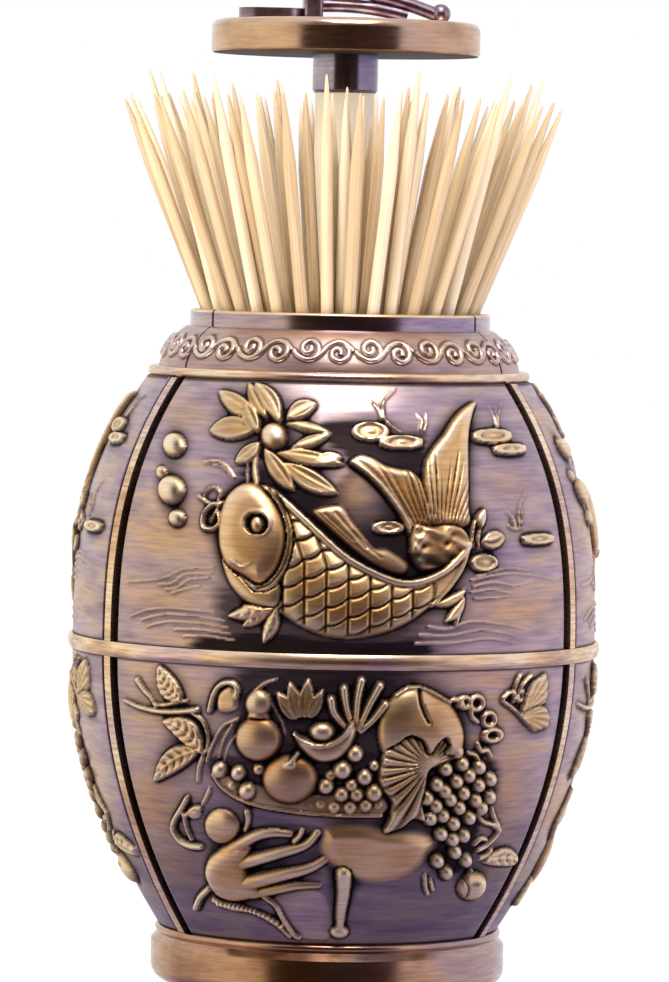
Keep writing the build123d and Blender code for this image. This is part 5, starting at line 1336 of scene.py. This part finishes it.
# ---------------------------------------------------------------- carried-over nodes
def dress_nodes():
    ribs = [f"{half}_rib_{place}" for half in ("upper", "lower")
            for place in ("front_left", "front_right", "back")]
    finishes = {
        BRIGHT_BRONZE: (*ribs, "shoulder_hoop", "equator_hoop"),
        TURNED_BRONZE: ("foot_ring",),
        LID_BRONZE: ("lid_plate",),
        ORNAMENT_BRONZE: ("lid_ornament",),
        GUNMETAL: ("stem_collar",),
        CREAM_PLASTIC: ("stem_tube", "tray"),
        LINER_PLASTIC: ("liner_cup",),
        ZINC_STEEL: ("guide_post", "post_cap", "lid_screw", "tray_clip", "tie_nut", "tie_washer",
                     "base_plate"),
        RING_RUBBER: ("friction_ring",),
        PAD_FOAM: ("base_pad",),
    }
    for material, names in finishes.items():
        for name in names:
            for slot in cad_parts[name].material_slots:
                slot.material = material


# ---------------------------------------------------------------- studio
PICTURE_WIDTH, PICTURE_HEIGHT, FOCAL = 669, 982, 5700.0
SENSOR_HEIGHT = 24.0
CAMERA_DISTANCE, CAMERA_HEIGHT, CAMERA_TURN, CAMERA_ROLL = 866.0, 114.5, 3.0, 1.2
HORIZON_ROW, AXIS_COLUMN = 231.7, 336.6

# the room at eye level and higher up, from behind the object round by its left, front and right
ROOM_RAMP = ((0.0, "FFFFFF"), (0.20, "FFF6EA"), (0.34, "FFF0DC"), (0.372, "FFEAD0"), (0.388, "4A3824"),
             (0.50, "2E201A"), (0.615, "4A3230"), (0.632, "E8DCEC"), (0.82, "F4ECF8"), (1.0, "FFFFFF"))
HIGH_RAMP = ((0.0, "FFFFFF"), (0.36, "F6F0F4"), (0.42, "806E74"), (0.50, "9A8A8C"), (0.58, "766474"),
             (0.64, "F0EAF6"), (1.0, "FFFFFF"))


def make_camera():
    camera = bpy.data.cameras.new("camera")
    camera.sensor_fit = "VERTICAL"
    camera.sensor_height = SENSOR_HEIGHT
    camera.sensor_width = SENSOR_HEIGHT * PICTURE_WIDTH / PICTURE_HEIGHT
    camera.lens = FOCAL / PICTURE_HEIGHT * SENSOR_HEIGHT
    camera.clip_start, camera.clip_end = 0.01, 20.0
    holder = new_object("camera", camera)
    t = math.radians(CAMERA_TURN)
    level = Vector((math.sin(t), math.cos(t), 0))
    right = Vector((math.cos(t), -math.sin(t), 0))
    pitch = math.atan((PICTURE_HEIGHT / 2 - HORIZON_ROW) / FOCAL)
    sideways = math.atan((PICTURE_WIDTH / 2 - AXIS_COLUMN) / FOCAL)
    forward = (level * math.cos(sideways) + right * math.sin(sideways)).normalized()
    right = Vector((forward.y, -forward.x, 0)).normalized()
    forward = forward * math.cos(pitch) - Vector((0, 0, 1)) * math.sin(pitch)
    up = right.cross(forward)
    roll = math.radians(CAMERA_ROLL)
    camera_up = up * math.cos(roll) - right * math.sin(roll)
    camera_right = right * math.cos(roll) + up * math.sin(roll)
    place = Matrix((camera_right, camera_up, -forward)).transposed().to_4x4()
    place.translation = (-level * CAMERA_DISTANCE + Vector((0, 0, CAMERA_HEIGHT))) * MM
    holder.matrix_world = place
    bpy.context.scene.camera = holder


def area_light(name, place, target, size, power, colour, mirrored=False):
    lamp = bpy.data.lights.new(name, "AREA")
    lamp.shape, lamp.size, lamp.size_y = "RECTANGLE", size[0], size[1]
    lamp.energy, lamp.color = power, linear(colour)[:3]
    holder = new_object(name, lamp)
    holder.location = place
    holder.rotation_euler = (Vector(target) - Vector(place)).to_track_quat("-Z", "Y").to_euler()
    holder.visible_glossy = mirrored


def background(tree, colour, strength):
    return add(tree, "ShaderNodeBackground", inputs={"Color": colour, "Strength": strength}).outputs[0]


def blend(tree, share, a, b):
    """Shader a with shader b over it."""
    return add(tree, "ShaderNodeMixShader", inputs={0: share, 1: a, 2: b}).outputs[0]


def seen_directly(tree, path):
    """1 where it is seen as itself, not mirrored and not as light."""
    return calc(tree, "MAXIMUM", path["Is Camera Ray"], path["Is Transmission Ray"])


def make_world():
    """White room. What the metal mirrors is dark on the viewer's side and bright to the left and right."""
    world = bpy.data.worlds.new("studio")
    bpy.context.scene.world = world
    world.use_nodes = True
    world.cycles.sampling_method = "NONE"
    tree = world.node_tree
    tree.nodes.clear()
    path = add(tree, "ShaderNodeLightPath").outputs
    seen = seen_directly(tree, path)
    generated = add(tree, "ShaderNodeTexCoord").outputs["Generated"]
    way = add(tree, "ShaderNodeSeparateXYZ", inputs={0: generated}).outputs
    azimuth = calc(tree, "ARCTAN2", way[0], calc(tree, "MULTIPLY", way[1], -1.0))
    share = remap(tree, azimuth, -math.pi, math.pi)
    room = mix(tree, remap(tree, way[2], 0.20, 0.36), ramp(tree, share, ROOM_RAMP),
               ramp(tree, share, HIGH_RAMP))
    room = mix(tree, remap(tree, way[2], -0.25, -0.60), room, linear("A094B2"))
    room = mix(tree, remap(tree, way[2], 0.76, 0.86), room, linear("FFFBF6"))
    white = linear("FFFFFF")
    mirrored, ambient = background(tree, room, 1.0), background(tree, white, 0.42)
    shader = blend(tree, seen, blend(tree, path["Is Glossy Ray"], ambient, mirrored),
                   background(tree, white, 1.0))
    add(tree, "ShaderNodeOutputWorld", inputs={"Surface": shader})


def make_table():
    """White table top, seen as bright as the room and not mirrored in the metal."""
    mesh = bpy.data.meshes.new("table")
    mesh.from_pydata([(-3, -3, 0), (3, -3, 0), (3, 3, 0), (-3, 3, 0)], [], [(0, 1, 2, 3)])
    new_object("table", mesh)
    material = bpy.data.materials.new("white_table")
    material.use_nodes = True
    tree = material.node_tree
    tree.nodes.clear()
    path = add(tree, "ShaderNodeLightPath").outputs
    lit = add(tree, "ShaderNodeBsdfDiffuse", inputs={"Color": linear("F4F4F4")}).outputs[0]
    glow = add(tree, "ShaderNodeEmission", inputs={"Color": linear("FFFFFF"), "Strength": 1.25}).outputs[0]
    share = calc(tree, "MULTIPLY", seen_directly(tree, path), 0.75)
    through = add(tree, "ShaderNodeBsdfTransparent").outputs[0]
    shader = blend(tree, path["Is Glossy Ray"], blend(tree, share, lit, glow), through)
    add(tree, "ShaderNodeOutputMaterial", inputs={"Surface": shader})
    mesh.materials.append(material)


def make_studio():
    make_world()
    area_light("key_left", (-0.45, -0.42, 0.38), (0, 0, 0.06), (0.34, 0.5), 5.0, "FFF6EA")
    area_light("fill_right", (0.55, -0.35, 0.22), (0, 0, 0.06), (0.3, 0.5), 2.4, "F1EDFF")
    area_light("top", (0.0, -0.10, 0.74), (0, 0, 0.1), (0.42, 0.36), 0.9, "FFFFFF")
    area_light("strip", (0.02, -0.34, 0.68), (0, 0, 0.1), (0.34, 0.46), 3.4, "FFF6F0", mirrored=True)
    make_table()
    bpy.context.scene.view_settings.view_transform = "Standard"


make_camera()
make_studio()
dress_nodes()
make_staves()
make_frieze()
make_toothpicks()
